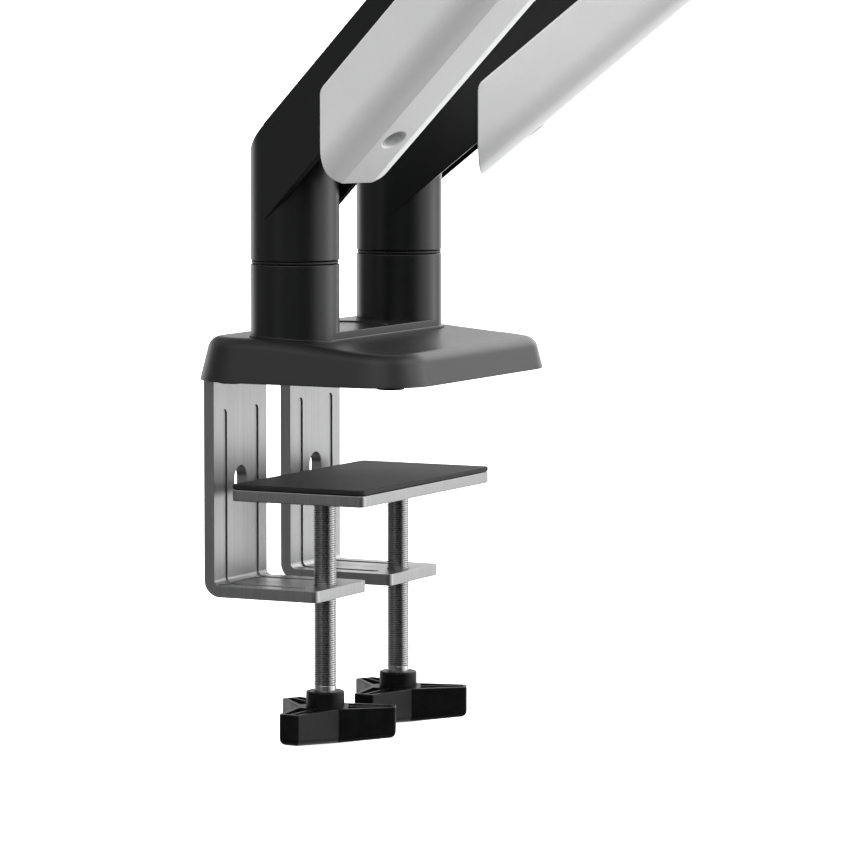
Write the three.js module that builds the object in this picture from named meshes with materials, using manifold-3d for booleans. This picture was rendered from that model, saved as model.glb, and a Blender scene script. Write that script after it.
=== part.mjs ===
// Dual monitor arm with a two-screw desk clamp.
// Frame: +X along the desk edge, +Y towards the back of the desk, +Z up.
// Origin: centre of the base's underside plane. Units: millimetres.
import * as THREE from 'three';
import { mergeVertices } from 'three/addons/utils/BufferGeometryUtils.js';
import Module from 'manifold-3d';

const wasm = await Module();
wasm.setup();

// ---- driving dimensions -------------------------------------------------
const GAP = 0.3;               // running and assembly gap between pieces

// base
const BASE_X = 156, BASE_Y = 111, BASE_CORNER = 25;
const BASE_TOP_BACK = 19.3, BASE_TOP_FRONT = 14.4;
const BASE_DRAFT = Math.tan(14 * Math.PI / 180);
const BASE_EDGE_R = 6, BASE_WALL = 2.6;
const BASE_PLATE_T = 2.5;
const FOOT_R = 6.2, FOOT_DROP = 1.5;
const FOOT_X = 60, FOOT_Y = 39;

// posts
const POST_X = 50, POST_Y = 13, POST_R = 19.4;
const STUB_TOP = 51.2, RING_Z0 = 51.5, RING_Z1 = 52.5, ARM_Z0 = 52.8;
const RIM_R = 19.9, RIM_TOP = 21.4, RECESS_FLOOR = 20.7;

// clamp
const CLAMP_X = 35.4, CLAMP_Y = 6.2;
const BRACKET_W = 48.4, BRACKET_T = 5.2, BRACKET_BACK = 53.75;
const BRACKET_BOTTOM = -96.7, BRACKET_FRONT = -2.3;
const BEND_OUT = 7.5, BEND_IN = 2.4;
const FLANGE_Z0 = 2.8, FLANGE_FRONT = 34.2;
const PAD_TOP = -45.9, PAD_T = 2.1, PLATE_TOP = -48.3, PLATE_T = 5.0;
const PLATE_HALF_X = 62.6, PLATE_Y0 = -26.9, PLATE_Y1 = 38.6, PLATE_R = 2.6;
const ROD_R = 5.0;
const KNOB_TOP = -145.5, KNOB_H = 15.5, COLLAR_TOP = -138.5, COLLAR_R = 8.5;
const KNOB_TIP = 31.3, KNOB_TIP_W = 9.5, KNOB_NOTCH = 12.3;
const KNOB_DIR = -63.2;        // direction of one prong, degrees from +X

// lower arms
const HEADING = 18.6;          // each lower arm points this far outward from -Y
const SLOPE = 39.86 * Math.PI / 180;
const ARM_TOP = 111.84;        // height of the sloped top face at the post axis
const BODY_V = -32.2;          // underside of the beam, square to the slope
const CHANNEL_V = -14;         // ceiling of the channel inside the beam
const CHANNEL_WALL = 2.6;
const COVER_V0 = -12.4, COVER_V1 = -44.0;
const COVER_W = 44, COVER_T = 2.2;
// lower corner of the cover's section: half width and height above the flat bottom
const COVER_CORNER = [[22, 12], [21.75, 9.6], [21.0, 7.3], [19.6, 5.0], [17.4, 3.0], [14.4, 1.55], [11.2, 0.6], [8.8, 0]];
const ELBOW_S = 200;           // post axis to elbow axis, horizontally
const COVER_S0 = 38.9, COVER_S1 = ELBOW_S - 38.9;
const SCREW_U = 44.2;          // cover screw, along the slope
const ELBOW_TOP = 284;

// upper arms
const UPPER_TURN = 31.4;       // upper arm turned further outward by this
const PIVOT_X = 34, PIVOT_Z = 303, LINK_DROP = 31, UPPER_L = 230;
const PAN_X = 32, TILT_X = 30, TILT_Z = 27;
const PLATE_HALF = 58;

// ---- helpers ------------------------------------------------------------
function closed(geom) {
  const g = geom.clone();
  g.deleteAttribute('normal');
  g.deleteAttribute('uv');
  return mergeVertices(g, 1e-4);
}
function solid(geom) {
  const g = closed(geom);
  return new wasm.Manifold(new wasm.Mesh({
    numProp: 3,
    vertProperties: new Float32Array(g.attributes.position.array),
    triVerts: new Uint32Array(g.index.array),
  }));
}
function geometry(man) {
  const m = man.getMesh();
  const g = new THREE.BufferGeometry();
  g.setAttribute('position', new THREE.BufferAttribute(new Float32Array(m.vertProperties), 3));
  g.setIndex(new THREE.BufferAttribute(new Uint32Array(m.triVerts), 1));
  g.computeVertexNormals();
  return g;
}
// facets on a round of nominal count n
const seg = (n) => (n < 10 ? n : Math.max(12, 4 * Math.round(n * 0.15)));
const join = (...a) => a.reduce((p, q) => p.add(q));
const cut = (a, ...b) => b.reduce((p, q) => p.subtract(q), a);
function box(x0, x1, y0, y1, z0, z1) {
  const g = new THREE.BoxGeometry(x1 - x0, y1 - y0, z1 - z0);
  g.translate((x0 + x1) / 2, (y0 + y1) / 2, (z0 + z1) / 2);
  return solid(g);
}
function cylZ(r, z0, z1, x = 0, y = 0, n = 24, turn = 0) {
  const g = new THREE.CylinderGeometry(r, r, z1 - z0, seg(n));
  g.rotateX(Math.PI / 2);
  g.rotateZ(turn);
  g.translate(x, y, (z0 + z1) / 2);
  return solid(g);
}
function cylY(r, y0, y1, x, z, n = 20) {
  const g = new THREE.CylinderGeometry(r, r, y1 - y0, seg(n));
  g.translate(x, (y0 + y1) / 2, z);
  return solid(g);
}
function cylX(r, x0, x1, y, z, n = 20) {
  const g = new THREE.CylinderGeometry(r, r, x1 - x0, seg(n));
  g.rotateZ(Math.PI / 2);
  g.translate((x0 + x1) / 2, y, z);
  return solid(g);
}
function shapeOf(points) {
  return new THREE.Shape(points.map(([a, b]) => new THREE.Vector2(a, b)));
}
// a plan outline raised from z0 to z1
function prismZ(points, z0, z1) {
  const g = new THREE.ExtrudeGeometry(shapeOf(points), { depth: z1 - z0, bevelEnabled: false });
  g.translate(0, 0, z0);
  return solid(g);
}
// an (x, z) outline carried across from y0 to y1
function prismY(points, y0, y1) {
  const g = new THREE.ExtrudeGeometry(shapeOf(points), { depth: y1 - y0, bevelEnabled: false });
  g.rotateX(Math.PI / 2);
  g.translate(0, y1, 0);
  return solid(g);
}
function arc(cx, cy, r, a0, a1, n) {
  const out = [];
  for (let i = 0; i <= n; i++) {
    const a = (a0 + (a1 - a0) * i / n) * Math.PI / 180;
    out.push([cx + r * Math.cos(a), cy + r * Math.sin(a)]);
  }
  return out;
}
function roundRect(hx, hy, r, n, cx = 0, cy = 0) {
  return [
    ...arc(cx + hx - r, cy + hy - r, r, 0, 90, n),
    ...arc(cx - hx + r, cy + hy - r, r, 90, 180, n),
    ...arc(cx - hx + r, cy - hy + r, r, 180, 270, n),
    ...arc(cx + hx - r, cy - hy + r, r, 270, 360, n),
  ];
}
function stadium(half, r, n, cy) {
  return [...arc(half, cy, r, -90, 90, n), ...arc(-half, cy, r, 90, 270, n)];
}
// round one corner of a polyline
function rounded(p, c, q, r, n) {
  const v = (a, b) => { const dx = b[0] - a[0], dy = b[1] - a[1], l = Math.hypot(dx, dy); return [dx / l, dy / l]; };
  const d1 = v(c, p), d2 = v(c, q);
  const half = Math.acos(d1[0] * d2[0] + d1[1] * d2[1]) / 2;
  const t = r / Math.tan(half);
  const a = [c[0] + d1[0] * t, c[1] + d1[1] * t], b = [c[0] + d2[0] * t, c[1] + d2[1] * t];
  const m = [d1[0] + d2[0], d1[1] + d2[1]], ml = Math.hypot(m[0], m[1]);
  const o = [c[0] + m[0] / ml * r / Math.sin(half), c[1] + m[1] / ml * r / Math.sin(half)];
  let a0 = Math.atan2(a[1] - o[1], a[0] - o[0]), a1 = Math.atan2(b[1] - o[1], b[0] - o[0]);
  while (a1 - a0 > Math.PI) a1 -= 2 * Math.PI;
  while (a1 - a0 < -Math.PI) a1 += 2 * Math.PI;
  const out = [];
  for (let i = 0; i <= n; i++) {
    const w = a0 + (a1 - a0) * i / n;
    out.push([o[0] + r * Math.cos(w), o[1] + r * Math.sin(w)]);
  }
  return out;
}
// a closed skin over rings that all have the same number of points
function loft(rings) {
  const n = rings[0].length, pos = [], idx = [];
  rings.forEach((r) => r.forEach((p) => pos.push(...p)));
  for (let k = 0; k + 1 < rings.length; k++) {
    for (let i = 0; i < n; i++) {
      const a = k * n + i, b = k * n + (i + 1) % n, c = a + n, d = b + n;
      idx.push(a, b, d, a, d, c);
    }
  }
  const centre = (r) => r.reduce((s, p) => [s[0] + p[0] / n, s[1] + p[1] / n, s[2] + p[2] / n], [0, 0, 0]);
  const lo = pos.length / 3; pos.push(...centre(rings[0]));
  const hi = lo + 1; pos.push(...centre(rings[rings.length - 1]));
  const top = (rings.length - 1) * n;
  for (let i = 0; i < n; i++) {
    const j = (i + 1) % n;
    idx.push(lo, j, i, hi, top + i, top + j);
  }
  const g = new THREE.BufferGeometry();
  g.setAttribute('position', new THREE.BufferAttribute(new Float32Array(pos), 3));
  g.setIndex(idx);
  return solid(g);
}

// ---- materials ----------------------------------------------------------
const paint = (color, roughness, metalness) => () => new THREE.MeshStandardMaterial({ color, roughness, metalness });
const BLACK_CAST = paint(0x1d1e20, 0.45, 0.2);
const BLACK_MOULD = paint(0x232426, 0.5, 0.0);
const SILVER_WHITE = paint(0xcfd0d2, 0.42, 0.1);
const ALU = paint(0xb4b5b8, 0.38, 0.9);
const STEEL = paint(0x8e9094, 0.35, 0.95);
const ZINC = paint(0x9fa1a4, 0.3, 0.95);
const RUBBER = paint(0x17181a, 0.85, 0.0);
const KNOB = paint(0x1a1b1c, 0.55, 0.0);

const model = new THREE.Group();
function place(group, name, man, material) {
  const mesh = new THREE.Mesh(geometry(man), material());
  mesh.name = name;
  group.add(mesh);
}

// ---- base ---------------------------------------------------------------
function baseTop(y) {
  const t = Math.min(1, Math.max(0, (y + 48) / 76));
  return BASE_TOP_FRONT + (BASE_TOP_BACK - BASE_TOP_FRONT) * t * t * (3 - 2 * t);
}
function baseRing(inset, lift) {
  const out = [];
  const add = (x, y) => out.push([x, y, lift(y)]);
  const hx = BASE_X / 2 - inset, hy = BASE_Y / 2 - inset, r = BASE_CORNER - inset;
  const cx = hx - r, cy = hy - r;
  for (let i = 0; i <= 4; i++) { const a = i / 4 * Math.PI / 2; add(cx + r * Math.cos(a), cy + r * Math.sin(a)); }
  for (let i = 0; i <= 4; i++) { const a = Math.PI / 2 + i / 4 * Math.PI / 2; add(-cx + r * Math.cos(a), cy + r * Math.sin(a)); }
  for (let i = 1; i < 5; i++) add(-hx, cy - 2 * cy * i / 5);
  for (let i = 0; i <= 4; i++) { const a = Math.PI + i / 4 * Math.PI / 2; add(-cx + r * Math.cos(a), -cy + r * Math.sin(a)); }
  for (let i = 0; i <= 4; i++) { const a = 1.5 * Math.PI + i / 4 * Math.PI / 2; add(cx + r * Math.cos(a), -cy + r * Math.sin(a)); }
  for (let i = 1; i < 5; i++) add(hx, -cy + 2 * cy * i / 5);
  return out;
}
const sideInset = (h) => Math.max(0, h) * BASE_DRAFT;
const rings = [baseRing(0, () => 0)];
{
  const mid = (BASE_TOP_BACK + BASE_TOP_FRONT) / 2 - 0.76 * BASE_EDGE_R;
  const s0 = sideInset(mid);
  for (const a of [14, 31, 50, 71, 90]) {
    const c = Math.cos(a * Math.PI / 180), s = Math.sin(a * Math.PI / 180);
    rings.push(baseRing(s0 + BASE_EDGE_R * (0.9703 - c), (y) => baseTop(y) - BASE_EDGE_R * (1 - s)));
  }
  rings.push(baseRing(s0 + 12, (y) => baseTop(y)));
}
let cover = loft(rings);
// cavity underneath, opening for the posts, room for the bracket legs
const legSlots = [-1, 1].map((s) => join(
  box(s * CLAMP_X - BRACKET_W / 2 - 0.4, s * CLAMP_X + BRACKET_W / 2 + 0.4, 40, BRACKET_BACK + 0.3, -1, 3.6),
  box(s * CLAMP_X - BRACKET_W / 2 - 0.4, s * CLAMP_X + BRACKET_W / 2 + 0.4, 40, BRACKET_BACK - 0.5, -1, 8.4),
));
cover = cut(cover,
  prismZ(roundRect(BASE_X / 2 - BASE_WALL - 2, BASE_Y / 2 - BASE_WALL - 2, 20, 4), -1, 10.2),
  prismZ(roundRect(BASE_X / 2 - BASE_WALL - 4, (BASE_Y / 2 - BASE_WALL - 4 + 8) / 2, 12, 3, 0, (BASE_Y / 2 - BASE_WALL - 4 - 8) / 2), -1, 15.6),
  prismZ(stadium(POST_X, RIM_R + GAP, 8, POST_Y), -1, 40),
  ...legSlots);
place(model, 'base_cover', cover, BLACK_MOULD);

let plate = prismZ(roundRect(BASE_X / 2 - BASE_WALL - 2 - GAP, BASE_Y / 2 - BASE_WALL - 2 - GAP, 19.7, 4), 0, BASE_PLATE_T);
for (const s of [-1, 1]) {
  plate = cut(plate,
    box(s * CLAMP_X - BRACKET_W / 2 - 0.5, s * CLAMP_X + BRACKET_W / 2 + 0.5, BRACKET_BACK - BRACKET_T - BEND_IN - 0.5, 70, -1, 5),
    cylZ(3.3, -1, 5, s * CLAMP_X, 40.4, 16));
  for (const t of [-1, 1]) plate = cut(plate, cylZ(FOOT_R + GAP, -1, 1.1, s * FOOT_X, t * FOOT_Y, 24));
}
place(model, 'base_plate', plate, STEEL);
for (const [sx, a] of [[-1, 'left'], [1, 'right']]) {
  for (const [sy, b] of [[-1, 'front'], [1, 'rear']]) {
    place(model, `foot_pad_${b}_${a}`, cylZ(FOOT_R, -FOOT_DROP, 0.8, sx * FOOT_X, sy * FOOT_Y, 24), RUBBER);
  }
}

let posts = prismZ(stadium(POST_X, RIM_R, 8, POST_Y), FLANGE_Z0, RIM_TOP);
for (const s of [-1, 1]) posts = posts.add(cylZ(POST_R, 3, STUB_TOP, s * POST_X, POST_Y, 40));
// recess between the posts, and the bolt bores with their head pockets
let recess = prismZ(stadium(POST_X, RIM_R - 2.2, 8, POST_Y), RECESS_FLOOR, 40);
for (const s of [-1, 1]) recess = recess.subtract(cylZ(POST_R, 3, 60, s * POST_X, POST_Y, 40));
posts = cut(posts, recess);
for (const s of [-1, 1]) posts = cut(posts, cylZ(6.4, -1, 60, s * POST_X, POST_Y, 20), cylZ(12, -1, 14, s * POST_X, POST_Y, 20));
// lightening pocket in the underside between the bores
posts = cut(posts, prismZ(roundRect(30, 14, 5, 3, 0, POST_Y), -1, 17));
place(model, 'twin_post_base', posts, BLACK_CAST);

// ---- clamp --------------------------------------------------------------
function bracketOutline() {
  const b = BRACKET_BACK, t = BRACKET_T, f = FLANGE_Z0, zt = f + t, zb = BRACKET_BOTTOM;
  return [
    [FLANGE_FRONT, f], [FLANGE_FRONT, zt],
    ...rounded([FLANGE_FRONT, zt], [b, zt], [b, zb], BEND_OUT, 4),
    ...rounded([b, zt], [b, zb], [BRACKET_FRONT, zb], BEND_OUT, 4),
    [BRACKET_FRONT, zb], [BRACKET_FRONT, zb + t],
    ...rounded([BRACKET_FRONT, zb + t], [b - t, zb + t], [b - t, f], BEND_IN, 3),
    ...rounded([b - t, zb + t], [b - t, f], [FLANGE_FRONT, f], BEND_IN, 3),
  ];
}
function bracket(cx) {
  const g = new THREE.ExtrudeGeometry(shapeOf(bracketOutline()), { depth: BRACKET_W, bevelEnabled: false });
  // (y, z) outline carried along x
  g.applyMatrix4(new THREE.Matrix4().set(0, 0, 1, cx - BRACKET_W / 2, 1, 0, 0, 0, 0, 1, 0, 0, 0, 0, 0, 1));
  let b = solid(g);
  // rounded front corners of the lower leg
  b = b.intersect(prismZ([
    ...arc(cx - BRACKET_W / 2 + 3, BRACKET_FRONT + 3, 3, 180, 270, 3),
    ...arc(cx + BRACKET_W / 2 - 3, BRACKET_FRONT + 3, 3, 270, 360, 3),
    [cx + BRACKET_W / 2, 80], [cx - BRACKET_W / 2, 80]], -120, 40));
  // threaded hole for the clamp screw, slot and bolt hole
  b = cut(b, cylZ(ROD_R + GAP, -120, -80, cx, CLAMP_Y, 24));
  const slot = new THREE.ExtrudeGeometry(shapeOf([...arc(0, -45.7, 5.5, 0, 180, 5), ...arc(0, -50, 5.5, 180, 360, 5)]), { depth: 20, bevelEnabled: false });
  slot.applyMatrix4(new THREE.Matrix4().set(1, 0, 0, cx, 0, 0, -1, 60, 0, 1, 0, 0, 0, 0, 0, 1));
  b = cut(b, solid(slot), cylZ(3.3, 0, 20, cx, 40.4, 16));
  // shallow grooves down the inner face and along the lower leg
  const face = BRACKET_BACK - BRACKET_T;
  for (const s of [-1, 1]) {
    b = cut(b,
      prismY([...arc(cx + s * 14.4, -16.5, 2.2, 0, 180, 5), [cx + s * 14.4 - 2.2, BRACKET_BOTTOM + BRACKET_T - 0.75], [cx + s * 14.4 + 2.2, BRACKET_BOTTOM + BRACKET_T - 0.75]], face - 1, face + 0.75),
      prismZ([[cx + s * 14.4 + 2.2, face + 0.75], [cx + s * 14.4 - 2.2, face + 0.75], ...arc(cx + s * 14.4, 11, 2.2, 180, 360, 5)], BRACKET_BOTTOM + BRACKET_T - 0.75, BRACKET_BOTTOM + BRACKET_T + 3));
  }
  return b;
}
function knobOutline(cx, cy) {
  const pts = [];
  for (let k = 0; k < 3; k++) {
    const a = (KNOB_DIR + 120 * k) * Math.PI / 180;
    const c = Math.cos(a), s = Math.sin(a), h = KNOB_TIP_W / 2;
    const P = (u, v) => [cx + u * c - v * s, cy + u * s + v * c];
    pts.push(P(KNOB_TIP - 0.9, -h), P(KNOB_TIP, -h + 0.9), P(KNOB_TIP, h - 0.9), P(KNOB_TIP - 0.9, h));
    const n = a + Math.PI / 3;
    for (const d of [-4, 4]) pts.push([cx + KNOB_NOTCH * Math.cos(n + d * Math.PI / 180), cy + KNOB_NOTCH * Math.sin(n + d * Math.PI / 180)]);
  }
  return pts;
}
function knob(cx, cy) {
  let k = join(
    prismZ(knobOutline(cx, cy), KNOB_TOP - KNOB_H + 2.5, KNOB_TOP),
    cylZ(COLLAR_R, KNOB_TOP - 2, COLLAR_TOP, cx, cy, 28));
  // rounded underside: a smaller outline below
  const g = new THREE.ExtrudeGeometry(shapeOf(knobOutline(0, 0).map(([x, y]) => [x, y])), { depth: 2.6, bevelEnabled: false });
  const p = g.attributes.position;
  for (let i = 0; i < p.count; i++) {
    const q = p.getZ(i) < 1 ? 0.93 : 0.999;
    p.setXYZ(i, p.getX(i) * q + cx, p.getY(i) * q + cy, p.getZ(i) + KNOB_TOP - KNOB_H);
  }
  k = k.add(solid(g));
  // two pockets in the top of each prong, with a rib between them
  for (let i = 0; i < 3; i++) {
    const a = (KNOB_DIR + 120 * i) * Math.PI / 180, c = Math.cos(a), s = Math.sin(a);
    for (const e of [-1, 1]) {
      const P = (u, v) => [cx + u * c - e * v * s, cy + u * s + e * v * c];
      const pts = [P(10.5, 0.7), P(KNOB_TIP - 1.6, 0.7), P(KNOB_TIP - 1.6, 3.0), P(10.5, 7.3)];
      k = cut(k, prismZ(e > 0 ? pts : pts.reverse(), KNOB_TOP - 9, KNOB_TOP + 1));
    }
  }
  return cut(k, cylZ(ROD_R + GAP, KNOB_TOP - 12.5, -130, cx, cy, 24));
}
let clampPlate = prismZ(roundRect(PLATE_HALF_X, (PLATE_Y1 - PLATE_Y0) / 2, PLATE_R, 3, 0, (PLATE_Y0 + PLATE_Y1) / 2), PLATE_TOP - PLATE_T, PLATE_TOP);
for (const s of [-1, 1]) {
  clampPlate = cut(clampPlate, cylZ(4.3, -60, -40, s * CLAMP_X, CLAMP_Y, 20), cylZ(6.9, PLATE_TOP - 2.6, -40, s * CLAMP_X, CLAMP_Y, 20));
}
place(model, 'clamp_plate', clampPlate, ALU);
place(model, 'clamp_pad', prismZ(roundRect(PLATE_HALF_X, (PLATE_Y1 - PLATE_Y0) / 2, PLATE_R, 3, 0, (PLATE_Y0 + PLATE_Y1) / 2), PAD_TOP - PAD_T, PAD_TOP), RUBBER);
for (const [s, side] of [[-1, 'left'], [1, 'right']]) {
  const cx = s * CLAMP_X;
  place(model, `clamp_bracket_${side}`, bracket(cx), ALU);
  place(model, `bracket_bolt_${side}`, join(
    cylZ(3, 0.5, 8.5, cx, 40.4, 16),
    cylZ(5.2, 8.3, 12.6, cx, 40.4, 6)), ZINC);
  place(model, `clamp_screw_${side}`, join(
    cylZ(ROD_R, KNOB_TOP - 12, PLATE_TOP - PLATE_T - GAP, cx, CLAMP_Y, 24),
    cylZ(4, -60, PLATE_TOP - 2, cx, CLAMP_Y, 20),
    cylZ(6.5, PLATE_TOP - 2.3, PLATE_TOP - 0.3, cx, CLAMP_Y, 20)), ZINC);
  place(model, `clamp_knob_${side}`, knob(cx, CLAMP_Y), KNOB);
}

// ---- arms ---------------------------------------------------------------
const T = Math.tan(SLOPE), CS = Math.cos(SLOPE), SN = Math.sin(SLOPE);
const SL = (u, v) => [u * CS - v * SN, ARM_TOP + u * SN + v * CS];   // slope frame to (x, z)
const BOT = ARM_TOP + BODY_V / CS;                                   // beam underside height at the post axis
function tilted(geom, u, v) {      // geometry built along +Z is laid along the slope's normal
  const [x, z] = SL(u, v);
  geom.rotateY(-SLOPE);
  geom.translate(x, 0, z);
  return solid(geom);
}
function cylN(r, v0, v1, u, n = 20) {
  const g = new THREE.CylinderGeometry(r, r, v1 - v0, seg(n));
  g.rotateX(Math.PI / 2);
  g.translate(0, 0, (v0 + v1) / 2);
  return tilted(g, u, 0);
}
function lowerArm() {
  const R = POST_R;
  const low = prismY([[-R - 1, ARM_Z0], [R + 1, ARM_Z0], [R + 1, ARM_TOP + (R + 1) * T],
    ...rounded([R, ARM_TOP + R * T], [-R, ARM_TOP - R * T], [-R, ARM_Z0], 9, 5), [-R - 1, ARM_TOP - R * T - 12]], -R - 1, R + 1);
  const lowCyl = cylZ(R, ARM_Z0, 140, 0, 0, 40).intersect(low);
  const E = ELBOW_S;
  const high = prismY([[E - R - 1, BOT + (E - R - 1) * T],
    ...rounded([E - R, BOT + (E - R) * T], [E + R, BOT + (E + R) * T], [E + R, ELBOW_TOP], 9, 5),
    [E + R + 1, BOT + (E + R) * T + 12], [E + R + 1, ELBOW_TOP], [E - R - 1, ELBOW_TOP]], -R - 1, R + 1);
  const highCyl = cylZ(R, 200, ELBOW_TOP, E, 0, 40).intersect(high);
  const beam = prismY([[0, BOT], [E, BOT + E * T], [E, ARM_TOP + E * T], [0, ARM_TOP]], -R, R);
  // open channel along the underside, with side walls CHANNEL_WALL thick and a boss for the cover screw
  const long = E / CS + 60;
  const channel = new THREE.BoxGeometry(long, 2 * (R - CHANNEL_WALL), 30);
  return cut(join(lowCyl, cut(beam, tilted(channel, E / CS / 2, CHANNEL_V - 15)), cylN(7, BODY_V, CHANNEL_V + 1, SCREW_U, 20), highCyl),
    cylZ(6.3, 40, 90, 0, 0, 20),
    cylZ(6.3, 200, 300, E, 0, 20),
    cylZ(12.5, 200, 262.4, E, 0, 20),
    cylN(2.3, -40, -18, SCREW_U, 12));
}
function lowerCover() {
  const w = COVER_W / 2, t = COVER_T, v0 = COVER_V0, v1 = COVER_V1;
  const side = (sx, off) => COVER_CORNER.map(([x, h], i) => {     // one lower corner, moved inwards by off
    const p = COVER_CORNER[Math.max(0, i - 1)], q = COVER_CORNER[Math.min(COVER_CORNER.length - 1, i + 1)];
    const first = i === 0, last = i === COVER_CORNER.length - 1;
    const dx = first ? 0 : last ? -1 : q[0] - p[0], dh = first ? -1 : last ? 0 : q[1] - p[1], l = Math.hypot(dx, dh);
    return [sx * (x + dh / l * off), v1 + h - dx / l * off];
  });
  const section = [
    [w, v0], [w - t, v0],
    ...side(1, t), ...side(-1, t).reverse(),
    [-w + t, v0], [-w, v0],
    ...side(-1, 0), ...side(1, 0).reverse(),
  ];
  const g = new THREE.ExtrudeGeometry(shapeOf(section), { depth: 300, bevelEnabled: false });
  // section (y, v) carried along the slope
  g.applyMatrix4(new THREE.Matrix4().set(
    0, -SN, CS, -20 * CS,
    1, 0, 0, 0,
    0, CS, SN, ARM_TOP - 20 * SN,
    0, 0, 0, 1));
  const top = (x) => ARM_TOP + COVER_V0 / CS + x * T, bot = (x) => ARM_TOP + COVER_V1 / CS - 1 + x * T;
  const a = COVER_S0, b = COVER_S1;
  const trim = prismY([
    [a, bot(a)], [b, bot(b)],
    ...rounded([b, bot(b)], [b, top(b)], [a, top(a)], 6, 4),
    ...rounded([b, top(b)], [a, top(a)], [a, bot(a)], 6, 4)], -30, 30);
  const cup = cylN(7, -42.5, -32.6, SCREW_U);
  return cut(join(solid(g).intersect(trim), cup), cylN(5.2, -60, -34.8, SCREW_U), cylN(2.5, -40, -30, SCREW_U, 12));
}
function cheeks(x, dir) {
  // two side cheeks with both link pivots; dir = +1 when the hub lies behind them
  const top = PIVOT_Z, low = PIVOT_Z - LINK_DROP;
  const one = (y0, y1) => join(
    cylY(10, y0, y1, x, top, 20), cylY(9, y0, y1, x, low, 20),
    prismY([[x - 9, low], [x + 9, low], [x + 10, top], [x - 10, top]], y0, y1),
    prismY(dir > 0 ? [[x - 30, top - 9], [x, top - 9], [x, top + 9], [x - 30, top + 9]] : [[x, top - 9], [x + 28, top - 9], [x + 28, top + 9], [x, top + 9]], y0, y1));
  return cut(join(one(7.5, 15.5), one(-15.5, -7.5), cylY(7.5, 15, 18.1, x, top, 16), cylY(7.5, -18.1, -15, x, top, 16)),
    cylY(4.3, -30, 30, x, top, 16), cylY(3.3, -30, 30, x, low, 12));
}
function elbowYoke() {
  return cut(join(
    cylZ(POST_R, ELBOW_TOP + 0.6, 316, 0, 0, 36),
    cheeks(PIVOT_X, 1),
    cylY(3, -8, 8, PIVOT_X, PIVOT_Z - 13, 12)),
    box(14, 60, -7.5, 7.5, 200, PIVOT_Z - 17), box(14, 60, -7.5, 7.5, PIVOT_Z - 9, 330),
    box(14, PIVOT_X - 8, -7.5, 7.5, 280, 330), cylZ(6.3, 200, 311, 0, 0, 20));
}
function upperArm() {
  const L = UPPER_L, x0 = PIVOT_X, z0 = PIVOT_Z;
  const side = [...arc(x0, z0, 12, 90, 270, 6).map(([a, b]) => [a, Math.max(b, z0 - 10)]), ...arc(x0 + L, z0, 12, -90, 90, 6).map(([a, b]) => [a, Math.max(b, z0 - 10)])];
  const clean = side.filter((p, i) => i === 0 || Math.hypot(p[0] - side[i - 1][0], p[1] - side[i - 1][1]) > 0.05);
  const wall = (y0, y1) => prismY(clean, y0, y1);
  const top = new THREE.ExtrudeGeometry(shapeOf([[-21, 11.9], [21, 11.9], [21, 12.2], [18.9, 14.6], [-18.9, 14.6], [-21, 12.2]]), { depth: L - 4, bevelEnabled: false });
  top.applyMatrix4(new THREE.Matrix4().set(0, 0, 1, x0 + 2, 1, 0, 0, 0, 0, 1, 0, z0, 0, 0, 0, 1));
  return cut(join(wall(18.4, 21), wall(-21, -18.4), solid(top)),
    cylY(4.3, -30, 30, x0, z0, 16), cylY(4.3, -30, 30, x0 + L, z0, 16));
}
function upperCover() {
  const L = UPPER_L, x0 = PIVOT_X + 14, x1 = PIVOT_X + L - 14, z0 = PIVOT_Z;
  const sec = [[23.2, -2], ...arc(17.2, 11, 6, 0, 90, 4), ...arc(-17.2, 11, 6, 90, 180, 4), [-23.2, -2], [-21.4, -2],
    ...arc(-18.2, 11.8, 3.2, 180, 90, 3), ...arc(18.2, 11.8, 3.2, 90, 0, 3), [21.4, -2]];
  const g = new THREE.ExtrudeGeometry(shapeOf(sec), { depth: x1 - x0, bevelEnabled: false });
  g.applyMatrix4(new THREE.Matrix4().set(0, 0, 1, x0, 1, 0, 0, 0, 0, 1, 0, z0, 0, 0, 0, 1));
  return solid(g);
}
function lowerLink() {
  const L = UPPER_L, x0 = PIVOT_X, z0 = PIVOT_Z - LINK_DROP;
  const pts = [[-8, -5], [-5, -8], [L + 5, -8], [L + 8, -5], [L + 8, 4], [L + 5, 7], [L - 30, 7], [L - 38, 14], [38, 14], [30, 7], [-5, 7], [-8, 4]].map(([a, b]) => [x0 + a, z0 + b]);
  return cut(join(prismY(pts, 15.9, 17.9), prismY(pts, -17.9, -15.9), box(x0 + 20, x0 + L - 20, -17.5, 17.5, z0 - 8, z0 - 5.8)),
    cylY(3.3, -30, 30, x0, z0, 12), cylY(3.3, -30, 30, x0 + L, z0, 12));
}
const SPRING_TILT = Math.atan2(11.5, UPPER_L);     // spring axis rises towards the head
function alongSpring(man) {       // built along +X from the anchor end
  return man.rotate([0, -SPRING_TILT * 180 / Math.PI, 0]).translate([PIVOT_X, 0, PIVOT_Z - 11.5]);
}
const SPRING_L = Math.hypot(11.5, UPPER_L);
function springBarrel() {
  return alongSpring(cut(join(
    cylX(9, 95, 198, 0, 0, 24), cylX(4.5, 190, SPRING_L - 4, 0, 0, 16), cylY(6.8, -5, 5, SPRING_L, 0, 18)),
    cylX(4.4, 90, 192, 0, 0, 16), cylY(4.3, -9, 9, SPRING_L, 0, 16)));
}
function springRod() {
  return alongSpring(cut(join(cylX(4, 4, 150, 0, 0, 16), box(-6.5, 8, -5, 5, -8.5, 6.5)), box(-3.9, 3.9, -9, 9, -5.2, 4.9)));
}
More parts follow.
